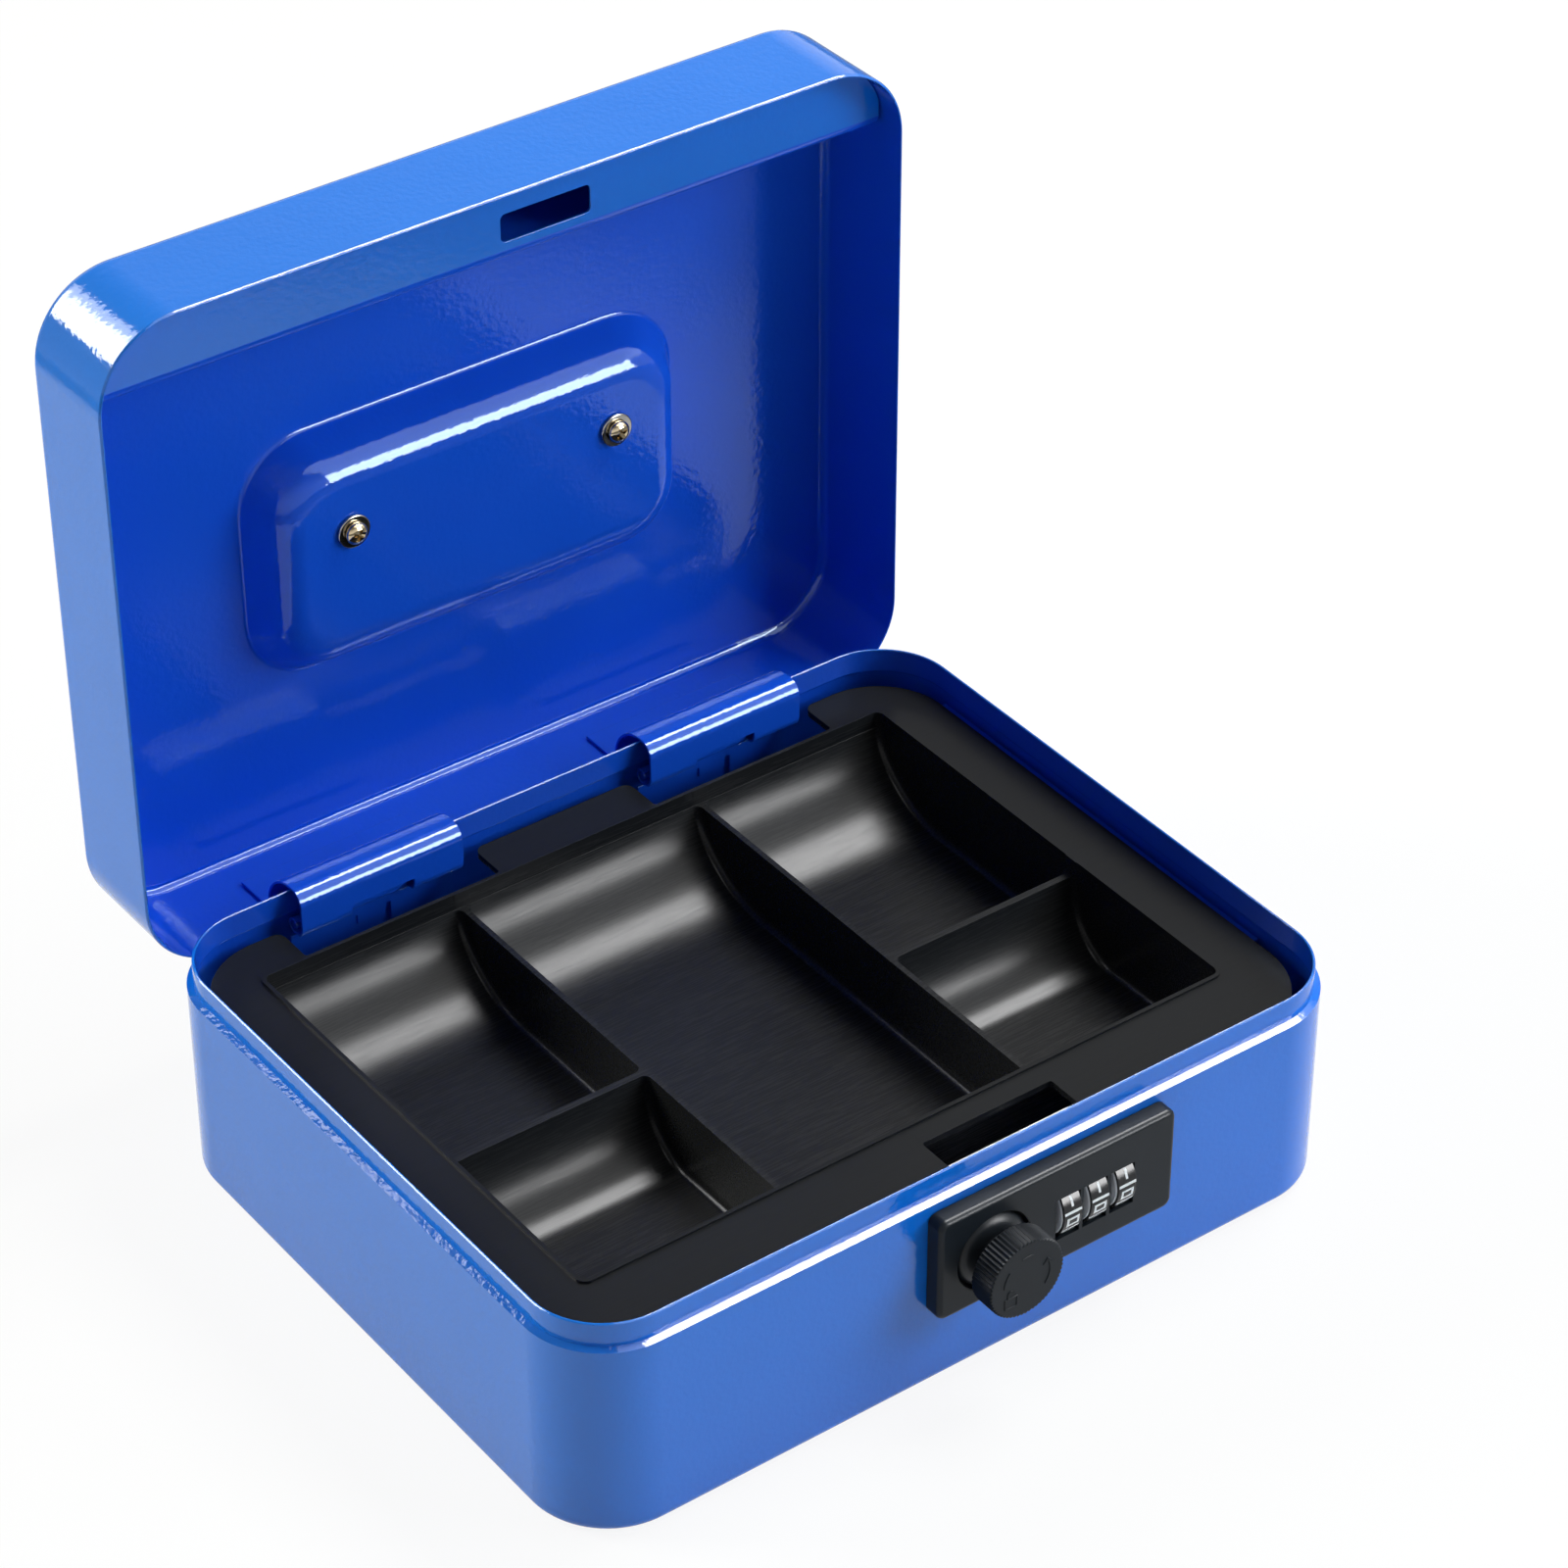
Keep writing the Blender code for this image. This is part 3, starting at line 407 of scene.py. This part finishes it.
# Lid: a shallower pressing of the same sheet that shuts over the base's lip, with a handle recess
# pressed into its top. It stands open at a right angle; the same blue covers it inside and out, with painted shade on
# its hollow side.
LID_TOP = 96.0
LID_RIM = 61.5
PAN_RIM = (141.0, 77.0, 22.0, 8.5)
PAN_FLAT = (113.0, 44.5, 11.0, 6.75)
PAN_DEPTH = 13.0


def opened(shape):
    """Swings a shape that is drawn with the lid shut to where the open lid has it."""
    return [(x, pin_y + z - pin_z, pin_z - y + pin_y) for x, y, z in shape[0]], shape[1]


def pressed_pan(sink):
    """Rings of the handle recess: a wide round at its flat, a steep wall and a tight round at its rim."""
    wide, tight, slope = 9.7, 1.5, 60.0
    foot = bend((0.0, wide), wide, 270, 270 + slope, 10)
    head = bend((14.0, 13.0 - tight), tight, 90 + slope, 90, 6)
    rings = []
    for run, rise in foot + head:
        width, depth, radius, middle = [a + (b - a) * run / 14.0 for a, b in zip(PAN_FLAT, PAN_RIM)]
        rings.append(across(outline(width, depth, radius, (0.0, middle)), "z", LID_TOP - PAN_DEPTH + rise - sink))
    return rings


outer = bend((3.5, LID_TOP - 3.5), 3.5, 90, 180, 8) + [(0.0, 62.15), (0.06, 62.0), (0.38, 61.56), (0.48, LID_RIM)]
inner = bend((3.5, LID_TOP - 3.5), 2.7, 90, 180, 8) + [(0.8, 61.8), (0.76, 61.6), (0.64, LID_RIM)]
rings = pressed_pan(0.0) + drawn(outer) + drawn(inner[::-1]) + pressed_pan(SHEET)[::-1]
lid = blank("lid_pressing", opened(skin(rings)))
for x in (-42.5, 42.5):
    machine(lid, opened(turned([(80.0, 2.0), (86.0, 2.0)], "z", (x, -2.0), 24)))


def inside_lid(at, way):
    """True for faces on the hollow side of the open lid."""
    shut_y, shut_z = pin_y - (at.z - pin_z), pin_z + at.y - pin_y
    if shut_z > 82.0 and inset_of(at.x, shut_y) > 2.0:
        return way.y < 0.0
    return inset_of(at.x, shut_y) > 0.75


# The hollow side of the lid takes the shaded copy of the enamel, a painted shade.
paint_shade_inside(lid, inside_lid)
fit(lid, enamel, "blue_paint", "lid", "lid_shell", crease=40.0)

# Latch strip: a folded plate welded across the front of the lid, with the slot that the hook enters.
# Its ends follow the lid's corners, and its rear edge turns up out of the way.
reach = 22.9
ends = [(101.0 + a, -76.0 - b) for b, a in bend((0.0, 0.0), reach, 0, 72, 16)]
stations = [(-x, y) for x, y in ends[::-1]] + ends
turn = bend((-78.4, 73.0), 3.0, 270, 360, 8) + [(-75.4, 91.5)]
rings = [across(strip_of([(y, 70.0)] + turn), "x", x) for x, y in stations]
strip = blank("latch_strip", opened(skin(rings)))
slot = outline(28.2, 8.2, 1.5, (13.8, -84.9), 6)
machine(strip, opened(skin([across(slot, "z", 68.0), across(slot, "z", 72.0)])))
# The strip's rear bend and turned-up edge take the shaded copy of the enamel, a painted shade.
paint_shade_inside(strip, lambda at, way: at.z < 232.5)
fit(strip, enamel, "blue_paint", "lid", "lid_latch_strip", edge=0.15)

# Hinge hoods on the lid: a leaf welded to the lid's top inside, bent in a wide hoop over the base's rim
# and rolled round the pin at its end, with a notch in the middle for the base's knuckle.
foot = -math.degrees(math.asin(2.0 / 12.5))
brow = 4.0
brow_middle = (brow - 4.5, math.sqrt((12.5 - brow) ** 2 - (brow - 4.5) ** 2))
leave = math.degrees(math.atan2(brow_middle[1], brow_middle[0]))
hoop = [(27.0, -2.0)] + bend((0, 0), 12.5, foot, leave, 32) + bend(brow_middle, brow, leave, 180, 14)[1:]
hoop += [(-4.5, 1.2), (-4.1, -0.4), (-3.0, -1.5)] + bend((0, 0), 2.0, 255, 490, 24)
section = [(pin_y + a, pin_z + b) for a, b in strip_of(hoop)]
for side, middle in HINGE_MIDDLES:
    hood = blank(f"hinge_hood_{side}", skin([across(section, "x", middle - 26.0), across(section, "x", middle + 26.0)]))
    machine(hood, block(pin_y - 6.5, pin_y + 4.0, pin_z - 4.0, pin_z + 2.6, "x", middle - 10.0, middle + 10.0))
    # The hoods take the shaded copy of the enamel, a painted shade.
    fit(hood, enamel_painted_shade, "blue_paint", "lid", f"hinge_lid_leaf_{side}", edge=0.15)

# Handle: a chromed bail of bent wire that folds flat into the recess, held by two die-cast lugs.
# Each lug is drawn down by a yellow-zinc cross-head screw and a plain washer from inside the lid.
PIVOT = (-2.0, 88.2)


def plated(name, pale, deep, roughness):
    """Bright plating whose tone drifts a little, as zinc passivation and chrome do."""
    made, tree, end = new_finish(name)
    where = add(tree, "ShaderNodeTexCoord").outputs["Object"]
    drift = add(tree, "ShaderNodeTexNoise", Vector=where, Scale=180.0, Detail=2.0)
    grain = add(tree, "ShaderNodeTexNoise", Vector=where, Scale=2600.0, Detail=1.0)
    tone = add(tree, "ShaderNodeMix", {"data_type": "RGBA"}, Factor=drift.outputs["Fac"])
    tone.inputs[6].default_value = (*pale, 1.0)
    tone.inputs[7].default_value = (*deep, 1.0)
    gloss = add(tree, "ShaderNodeMapRange", Value=drift.outputs["Fac"], From_Min=0.3, From_Max=0.7,
                To_Min=roughness * 0.8, To_Max=roughness * 1.25)
    bump = add(tree, "ShaderNodeBump", Strength=0.08, Distance=0.0001, Height=grain.outputs["Fac"])
    metal = add(tree, "ShaderNodeBsdfPrincipled", Base_Color=tone.outputs[2], Roughness=gloss.outputs[0],
                Normal=bump.outputs[0], Metallic=1.0)
    tree.links.new(metal.outputs[0], end.inputs["Surface"])
    return made


yellow_zinc = plated("yellow_zinc", (0.58, 0.53, 0.42), (0.48, 0.34, 0.15), 0.1)
chrome = plated("bright_chrome", (0.86, 0.87, 0.88), (0.80, 0.81, 0.83), 0.07)
grey_zinc = plated("grey_zinc", (0.44, 0.43, 0.40), (0.32, 0.31, 0.29), 0.1)
for side, sign, twist in (("left", -1, 24.0), ("right", 1, 62.0)):
    profile = [(36.5, 83.3), (50.0, 83.3)] + bend((48.5, 91.2), 1.5, 0, 180, 10) + bend((46.2, 86.6), 0.8, 0, -90, 5)
    profile += bend((37.5, 84.8), 1.0, 90, 180, 5)
    section = [(sign * x, z) for x, z in profile]
    lug = blank(f"handle_lug_casting_{side}", opened(skin([across(section, "y", y) for y in (-7.4, 3.4)])))
    machine(lug, opened(turned([(sign * 46.0, 2.8), (sign * 51.0, 2.8)], "x", PIVOT, 32)))
    machine(lug, opened(turned([(82.0, 2.0), (87.0, 2.0)], "z", (sign * 42.5, -2.0), 24)))
    fit(lug, chrome, "chrome_plate", "lid", f"handle_lug_{side}", edge=0.5)
    at = (sign * 42.5, -2.0)
    ring = [(81.1, 2.0), (81.1, 4.6), (81.18, 4.85), (81.38, 5.0), (81.75, 5.0), (81.9, 4.85), (81.9, 2.0)]
    washer = blank(f"handle_washer_ring_{side}", opened(turned(ring, "z", at, 48, looped=True)))
    fit(washer, grey_zinc, "washer_zinc", "lid", f"handle_washer_{side}", crease=50.0)
    dome = [(78.62, 0.2), (78.66, 0.9), (78.8, 1.7), (79.1, 2.45), (79.5, 2.95), (80.0, 3.25), (80.5, 3.3), (80.8, 3.2)]
    shank = [(80.8, 1.7), (86.2, 1.7), (86.6, 1.3)]
    screw = blank(f"handle_screw_head_{side}", opened(turned(dome + shank, "z", at, 40)))
    for quarter in (0.0, 90.0):
        angle = math.radians(twist + quarter)
        rings = []
        for depth, half_length, half_width in ((78.0, 2.5, 0.6), (80.2, 0.7, 0.3)):
            corners = [(a * half_length, b * half_width) for a, b in ((-1, -1), (1, -1), (1, 1), (-1, 1))]
            spun = [(at[0] + a * math.cos(angle) - b * math.sin(angle), at[1] + a * math.sin(angle) + b * math.cos(angle))
                    for a, b in corners]
            rings.append(across(spun, "z", depth))
        machine(screw, opened(skin(rings)))
    fit(screw, yellow_zinc, "yellow_zinc", "lid", f"handle_screw_{side}", crease=30.0)

half = [(46.6, 0.0), (46.8, 0.0)] + bend((50.6, 4.0), 4.0, 270, 360, 10) + bend((46.6, 19.0), 8.0, 0, 90, 14)
run = half + [(-x, y) for x, y in half[::-1]]
rings = []
for i, (x, y) in enumerate(run):
    before, after = run[max(i - 1, 0)], run[min(i + 1, len(run) - 1)]
    size = math.dist(before, after)
    side_x, side_y = (after[1] - before[1]) / size, -(after[0] - before[0]) / size
    radius = 2.1 if i in (0, len(run) - 1) else 2.5
    rings.append([(x + side_x * a, y + side_y * a + PIVOT[0], b + PIVOT[1]) for a, b in bend((0, 0), radius, 0, 348.75, 31)])
bail = blank("bail_wire", opened(skin(rings)))
fit(bail, chrome, "chrome_plate", "handle", "bail_handle", crease=50.0)

# Lock plate: a moulded black cover on the front wall, held by two screws from behind, with a round recess
# for the knob and three windows for the dials. Satin, with the fine grain of a spark-eroded mould.
PLATE_MIDDLE = (19.4, 41.9)
HUB = (-1.5, 41.0)
DIALS = (23.0, 32.0, 41.0)


def moulded(name, tone, roughness, grain_scale, grain_depth, shine=0.25):
    """Moulded black plastic with a fine grain and a slightly uneven sheen."""
    made, tree, end = new_finish(name)
    where = add(tree, "ShaderNodeTexCoord").outputs["Object"]
    grain = add(tree, "ShaderNodeTexNoise", Vector=where, Scale=grain_scale, Detail=3.0, Roughness=0.6)
    sheen = add(tree, "ShaderNodeTexNoise", Vector=where, Scale=40.0, Detail=3.0)
    colour = add(tree, "ShaderNodeMix", {"data_type": "RGBA"}, Factor=sheen.outputs["Fac"])
    colour.inputs[6].default_value = (*[c * 0.85 for c in tone], 1.0)
    colour.inputs[7].default_value = (*[c * 1.15 for c in tone], 1.0)
    gloss = add(tree, "ShaderNodeMapRange", Value=sheen.outputs["Fac"], From_Min=0.3, From_Max=0.7,
                To_Min=roughness - 0.04, To_Max=roughness + 0.04)
    bump = add(tree, "ShaderNodeBump", Strength=grain_depth, Distance=0.0001, Height=grain.outputs["Fac"])
    plastic = add(tree, "ShaderNodeBsdfPrincipled", Base_Color=colour.outputs[2], Roughness=gloss.outputs[0],
                  Normal=bump.outputs[0], IOR=1.45, Specular_IOR_Level=shine)
    tree.links.new(plastic.outputs[0], end.inputs["Surface"])
    return made


lock_plastic = moulded("lock_plastic", (0.0105, 0.0138, 0.018), 0.32, 3200.0, 0.25, shine=0.17)
rings = []
for at, inset in [(-100.3, 0.0)] + [(-104.0 + y, 1.5 - x) for x, y in bend((0, 0), (1.5, -1.5), 0, 90, 6)]:
    rings.append(across(outline(77.2 - 2 * inset, 32.6 - 2 * inset, 2.6 - inset * 0.6, PLATE_MIDDLE, 8), "y", at))
plate = blank("lock_cover", skin(rings))
recess = [(-106.5, 12.2), (-105.6, 12.2), (-105.2, 11.8), (-102.1, 11.8)]
machine(plate, turned(recess, "y", HUB, 72))
machine(plate, turned([(-105.0, 4.0), (-99.0, 4.0)], "y", HUB, 40))
for x in DIALS:
    window = [(-107.0, 33.6), (-99.0, 33.6), (-99.0, 47.0), (-107.0, 47.0)]
    machine(plate, skin([across(window, "x", x - 4.5), across(window, "x", x + 3.4)]))
    machine(plate, turned([(x - 4.5, 10.35), (x + 3.4, 10.35)], "x", (-97.2, 41.0), 72))
for x in (-12.5, 49.5):
    machine(plate, turned([(-102.6, 1.7), (-99.0, 1.7)], "y", (x, 33.0), 20))
fit(plate, lock_plastic, "lock_plastic", "base", "lock_plate", edge=0.25, crease=40.0)

# Lock works behind the wall: a steel case open to the front, its two screws, the dial axle and spring,
# the slide between the dials and the code change lever. They keep the shapes of the drawing.
lock_steel = plated("lock_steel", (0.56, 0.56, 0.57), (0.48, 0.48, 0.49), 0.32)
works = {"lock_case": lock_steel, "dial_axle": lock_steel, "dial_spring": lock_steel, "lock_slide": lock_steel,
         "code_change_lever": lock_steel, "lock_screw_left": yellow_zinc, "lock_screw_right": yellow_zinc}
for name, finish in works.items():
    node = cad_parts[name]
    node.data.materials.clear()
    node.data.materials.append(finish)

# Dials: three wheels on one axle behind the windows, black with white figures and bars moulded in.
# Each has a pale boss on its left side, and stops at ten places held by the spring below.
dial_black = moulded("dial_black", (0.012, 0.012, 0.013), 0.22, 1800.0, 0.15, shine=0.36)
dial_pale = moulded("dial_pale", (0.66, 0.67, 0.72), 0.4, 1800.0, 0.15)
figure_white = moulded("figure_white", (0.80, 0.80, 0.79), 0.4, 1800.0, 0.1)
DIAL_AXIS = (-97.2, 41.0)
FIGURES = (
    [[(-1, -1), (1, -1), (1, 1), (-1, 1), (-1, -1)]],
    [[(0, -1.3), (0, 1.3)]],
    [[(-1, 1), (1, 1), (1, 0), (-1, 0), (-1, -1), (1, -1)]],
    [[(-1, 1), (1, 1), (1, -1), (-1, -1)], [(-0.4, 0), (1, 0)]],
    [[(-1, 1.3), (-1, -0.2), (1.2, -0.2)], [(0.5, 1.3), (0.5, -1.3)]],
    [[(1, 1), (-1, 1), (-1, 0), (1, 0), (1, -1), (-1, -1)]],
    [[(1, 1), (-1, 1), (-1, -1), (1, -1), (1, 0), (-1, 0)]],
    [[(-1, 1), (1, 1), (-0.3, -1.3)]],
    [[(-1, -1), (1, -1), (1, 1), (-1, 1), (-1, -1)], [(-1, 0), (1, 0)]],
    [[(1, 0), (-1, 0), (-1, 1), (1, 1), (1, -1), (-1, -1)]],
)


def on_wheel(x, along, lift):
    """A point at a place across the wheel and a length round its rim."""
    angle = along / 10.0
    radius = 10.0 + lift
    return (x, DIAL_AXIS[0] - radius * math.cos(angle), DIAL_AXIS[1] + radius * math.sin(angle))


def inlay(stroke, across_rim, start, width):
    """Points and faces of a raised white line on the rim, along a stroke."""
    line = []
    for (x0, s0), (x1, s1) in zip(stroke, stroke[1:]):
        steps = max(1, int(abs(s1 - s0) / 0.4))
        line += [(x0 + (x1 - x0) * i / steps, s0 + (s1 - s0) * i / steps) for i in range(steps)]
    ring_shut = stroke[0] == stroke[-1]
    flat = strip_of([line[-1]] + line + line[:2] if ring_shut else line + [stroke[-1]], width)
    count = len(flat) // 2
    left, right = flat[:count], flat[count:][::-1]
    if ring_shut:
        left, right, count = left[1:-1], right[1:-1], count - 2
    points, faces = [], []
    for (xa, sa), (xb, sb) in zip(left, right):
        for lift in (-0.3, 0.04):
            points += [on_wheel(across_rim + xa, start + sa, lift), on_wheel(across_rim + xb, start + sb, lift)]
    for i in range(count - 1):
        a, b = 4 * i, 4 * (i + 1)
        faces += [(a, a + 1, b + 1, b), (a + 2, b + 2, b + 3, a + 3), (a, b, b + 2, a + 2), (a + 1, a + 3, b + 3, b + 1)]
    if not ring_shut:
        last = 4 * (count - 1)
        faces += [(0, 2, 3, 1), (last, last + 1, last + 3, last + 2)]
    return points, faces


for number, x in enumerate(DIALS, 1):
    rim = [(x - 3.0, 9.3), (x - 3.0, 9.7), (x - 2.94, 9.88), (x - 2.78, 10.0)]
    rim += [(2 * x - a, r) for a, r in rim[:0:-1]] + [(x + 3.0, 2.3)]
    rim += [(x - 3.45, 2.3), (x - 3.45, 9.15), (x - 3.35, 9.25)]
    wheel = blank(f"dial_{number}", turned(rim, "x", DIAL_AXIS, 100, looped=True))
    wheel.data.materials.append(dial_black)
    wheel.data.materials.append(dial_pale)
    for face in wheel.data.polygons:
        face.material_index = 1 if face.center.x * 1000.0 < x - 3.001 else 0
    fit(wheel, dial_black, "dial_plastic", f"dial_{number}", f"dial_wheel_{number}", crease=50.0)
    marks = ([], [])
    pitch = 2 * math.pi
    for figure, strokes in enumerate(FIGURES):
        start = math.radians(-9.5) * 10.0 + pitch * figure
        shapes = [inlay([(1.64 * a, 1.16 * b) for a, b in stroke], x, start, 0.7) for stroke in strokes]
        shapes.append(inlay([(-2.75, 0.0), (2.75, 0.0)], x, start + pitch / 2, 0.8))
        for points, faces in shapes:
            offset = len(marks[0])
            marks[0].extend(points)
            marks[1].extend(tuple(i + offset for i in face) for face in faces)
    figures = blank(f"dial_figures_{number}", marks)
    fit(figures, figure_white, "dial_plastic", f"dial_{number}", crease=50.0)

# Knob: a moulded black grip with fine ridges and a domed skirt, pressed on the spindle of the latch hook.
# Behind the lock case the hook lies level when the lock is open and is held by a hexagon nut.
knob_plastic = moulded("knob_plastic", (0.012, 0.0145, 0.018), 0.4, 2800.0, 0.25, shine=0.14)
skirt_plastic = moulded("skirt_plastic", (0.012, 0.0145, 0.018), 0.34, 2800.0, 0.15, shine=0.26)
RIDGES = 60
count = RIDGES * 4
profile = [(-102.5 - y, radius, 0) for radius, y in bend((6.0, 0.0), (5.4, 4.0), 0, 90, 10)]
profile += [(-110.2, 6.0, 0), (-110.5, 6.3, 0), (-110.5, 11.0, 0), (-110.75, 11.5, 0.5),
           (-111.2, 12.0, 1), (-118.2, 12.0, 1), (-118.5, 11.9, 1), (-118.66, 11.7, 0.9), (-118.7, 11.4, 0.7),
           (-118.7, 10.8, 0), (-118.7, 0.6, 0)]
rings = []
for y, radius, ridged in profile:
    ring = []
    for i in range(count):
        angle = 2 * math.pi * i / count
        r = radius - 0.5 * ridged * (0.5 - 0.5 * math.cos(angle * RIDGES))
        ring.append((HUB[0] + r * math.cos(angle), y, HUB[1] + r * math.sin(angle)))
    rings.append(ring)
knob = blank("turn_knob", skin(rings))
knob.data.materials.append(knob_plastic)
knob.data.materials.append(skirt_plastic)
for face in knob.data.polygons:
    face.material_index = 1 if face.center.y * 1000.0 > -107.0 else 0
fit(knob, knob_plastic, "lock_plastic", "knob", "knob", crease=30.0)


def raised(lines, width):
    """Ribs moulded on the knob's face along flat lines."""
    points, faces = [], []
    for line in lines:
        offset, count = len(points), 2 * len(line)
        for y, share in ((-118.6, 1.0), (-118.95, 0.4)):
            points += [(HUB[0] + a, y, HUB[1] + b) for a, b in strip_of(line, width * share)]
        for i in range(count // 2 - 1):
            a, b, c, d = i, i + 1, count - 2 - i, count - 1 - i
            faces += [(offset + a, offset + b, offset + c, offset + d)]
            faces += [(offset + count + a, offset + count + b, offset + count + c, offset + count + d)]
        faces += [(offset + i, offset + (i + 1) % count, offset + count + (i + 1) % count, offset + count + i)
                  for i in range(count)]
    return points, faces


signs = [bend((0, 0), 7.4, -38, 28, 14), [(8.3, 1.9), (6.5, 3.6), (5.1, 2.0)], bend((0, 0), 7.4, 78, 104, 8),
         bend((0, 0), 7.4, 140, 178, 10)]
lock_sign = [[(-7.0, -7.0), (-3.2, -7.0), (-3.2, -3.8), (-7.0, -3.8), (-7.0, -7.0)],
             [(-6.2, -3.8), (-6.2, -2.6)] + bend((-5.1, -2.6), 1.1, 180, 20, 8)]
marks = blank("knob_signs", raised(signs + lock_sign, 0.6))
fit(marks, knob_plastic, "lock_plastic", "knob", crease=30.0)
for name, finish in (("knob_spindle", lock_steel), ("latch_hook", lock_steel), ("hook_nut", yellow_zinc)):
    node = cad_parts[name]
    node.data.materials.clear()
    node.data.materials.append(finish)

# Coin tray: a lift-out moulding with a wide flange that hangs on the ledges and five pockets with scooped
# backs. Glossy black plastic, streaked along the scoops where the mould was polished.
TRAY_TOP = 58.3
POCKET_FLOOR = 31.8


def tray_flange():
    """Flange with a wide tab each side and in the middle of its rear edge."""
    line = bend((-95.0, -70.0), 25.0, 180, 270, 20) + bend((95.0, -70.0), 25.0, 270, 360, 20)
    line += bend((98.0, 73.0), 22.0, 0, 90, 20)
    for low, high in ((26.0, 87.5), (-88.5, -26.0)):
        line += bend((high + 3.0, 92.0), 3.0, 90, 180, 6) + [(high, 82.6), (high - 0.6, 82.0), (low + 0.6, 82.0), (low, 82.6)]
        line += bend((low - 3.0, 92.0), 3.0, 0, 90, 6)
    return line + bend((-98.0, 73.0), 22.0, 90, 180, 20)


def rounded_ends(low, high, radius, section):
    """A hollow or body drawn along x whose section tightens towards both ends."""
    corner = bend((0, 0), radius, 0, 90, 6)
    places = [(low + radius - a, radius - b) for a, b in corner]
    places += [(high - radius + a, radius - b) for a, b in corner[::-1]]
    return skin([across(section(tight), "x", x) for x, tight in places])


def pocket(front, back, scoop, low, high, round_in=2.2):
    """The hollow of one pocket, with small rounds in its corners and a scooped back."""
    def section(tight):
        floor = POCKET_FLOOR + tight
        side = [(front + tight, TRAY_TOP + 2.0)]
        side += bend((front + tight + 0.6 + round_in, floor + round_in), round_in, 180, 270, 6)
        side += bend((back - scoop, TRAY_TOP), (scoop - tight, TRAY_TOP - floor), 270, 360, 24)
        return side + [(back - tight, TRAY_TOP + 2.0)]
    return rounded_ends(low, high, round_in, section)


def underside(tight):
    """Outer section of the well that hangs under the flange."""
    side = [(-71.0 + tight, 57.0)] + bend((-66.4 + tight, 34.3 + tight), 4.0, 180, 270, 6)
    side += bend((48.3, TRAY_TOP), (33.2 - tight, 28.0 - tight), 270, 355, 24)
    return [p for p in side if p[1] <= 57.0] + [(81.4 - tight, 57.0)]


tray = blank("coin_tray_moulding", skin([across(tray_flange(), "z", z) for z in (56.3, TRAY_TOP)]))
machine(tray, rounded_ends(-104.5, 104.5, 4.0, underside), "UNION")
rim = outline(208.2, 151.7, 3.2, (0.0, 5.25), 6)
machine(tray, skin([across(rim, "z", 57.5), across(rim, "z", 59.1)]), "UNION")
mouth = outline(205.6, 149.1, 2.0, (0.0, 5.25), 6)
machine(tray, skin([across(mouth, "z", 54.0), across(mouth, "z", 61.0)]))
machine(tray, pocket(-69.5, 80.0, 31.7, -39.2, 39.2))
for low, high in ((-103.0, -40.8), (40.8, 103.0)):
    machine(tray, pocket(-6.5, 80.0, 31.7, low, high))
    machine(tray, pocket(-69.5, -8.1, 18.6, low, high))
hook_slot = outline(42.4, 11.2, 0.8, (17.8, -82.9), 4)
machine(tray, skin([across(hook_slot, "z", 55.0), across(hook_slot, "z", 60.0)]))

tray_plastic, tree, end = new_finish("tray_plastic")
where = add(tree, "ShaderNodeTexCoord").outputs["Object"]
drawn_out = add(tree, "ShaderNodeMapping", Vector=where)
drawn_out.inputs["Scale"].default_value = (90.0, 2600.0, 2600.0)
streak = add(tree, "ShaderNodeTexNoise", Vector=drawn_out.outputs[0], Scale=1.0, Detail=4.0, Roughness=0.6)
ripple = add(tree, "ShaderNodeTexNoise", Vector=where, Scale=700.0, Detail=2.0)
tall = add(tree, "ShaderNodeSeparateXYZ", Vector=where)
sunk = add(tree, "ShaderNodeMapRange", Value=tall.outputs["Z"], From_Min=0.0578, From_Max=0.0570, To_Min=0.0, To_Max=1.0)
rough_streak = add(tree, "ShaderNodeMapRange", Value=streak.outputs["Fac"], From_Min=0.3, From_Max=0.7, To_Min=0.22, To_Max=0.32)
gloss = add(tree, "ShaderNodeMix", {"data_type": "FLOAT"}, _0=sunk.outputs[0], _2=0.2, _3=rough_streak.outputs[0])
flat_black = add(tree, "ShaderNodeMix", {"data_type": "RGBA"}, Factor=streak.outputs["Fac"])
flat_black.inputs[6].default_value = (0.011, 0.0114, 0.0123, 1.0)
flat_black.inputs[7].default_value = (0.0155, 0.016, 0.0173, 1.0)
relief = add(tree, "ShaderNodeMix", {"data_type": "FLOAT"}, _0=sunk.outputs[0], _2=ripple.outputs["Fac"], _3=streak.outputs["Fac"])
bump = add(tree, "ShaderNodeBump", Strength=0.07, Distance=0.0001, Height=relief.outputs[0])
plastic = add(tree, "ShaderNodeBsdfPrincipled", Base_Color=flat_black.outputs[2], Roughness=gloss.outputs[0],
              Normal=bump.outputs[0], IOR=1.5, Specular_IOR_Level=0.14)
tree.links.new(plastic.outputs[0], end.inputs["Surface"])
fit(tray, tray_plastic, "tray_plastic", "tray", "coin_tray", edge=0.35)
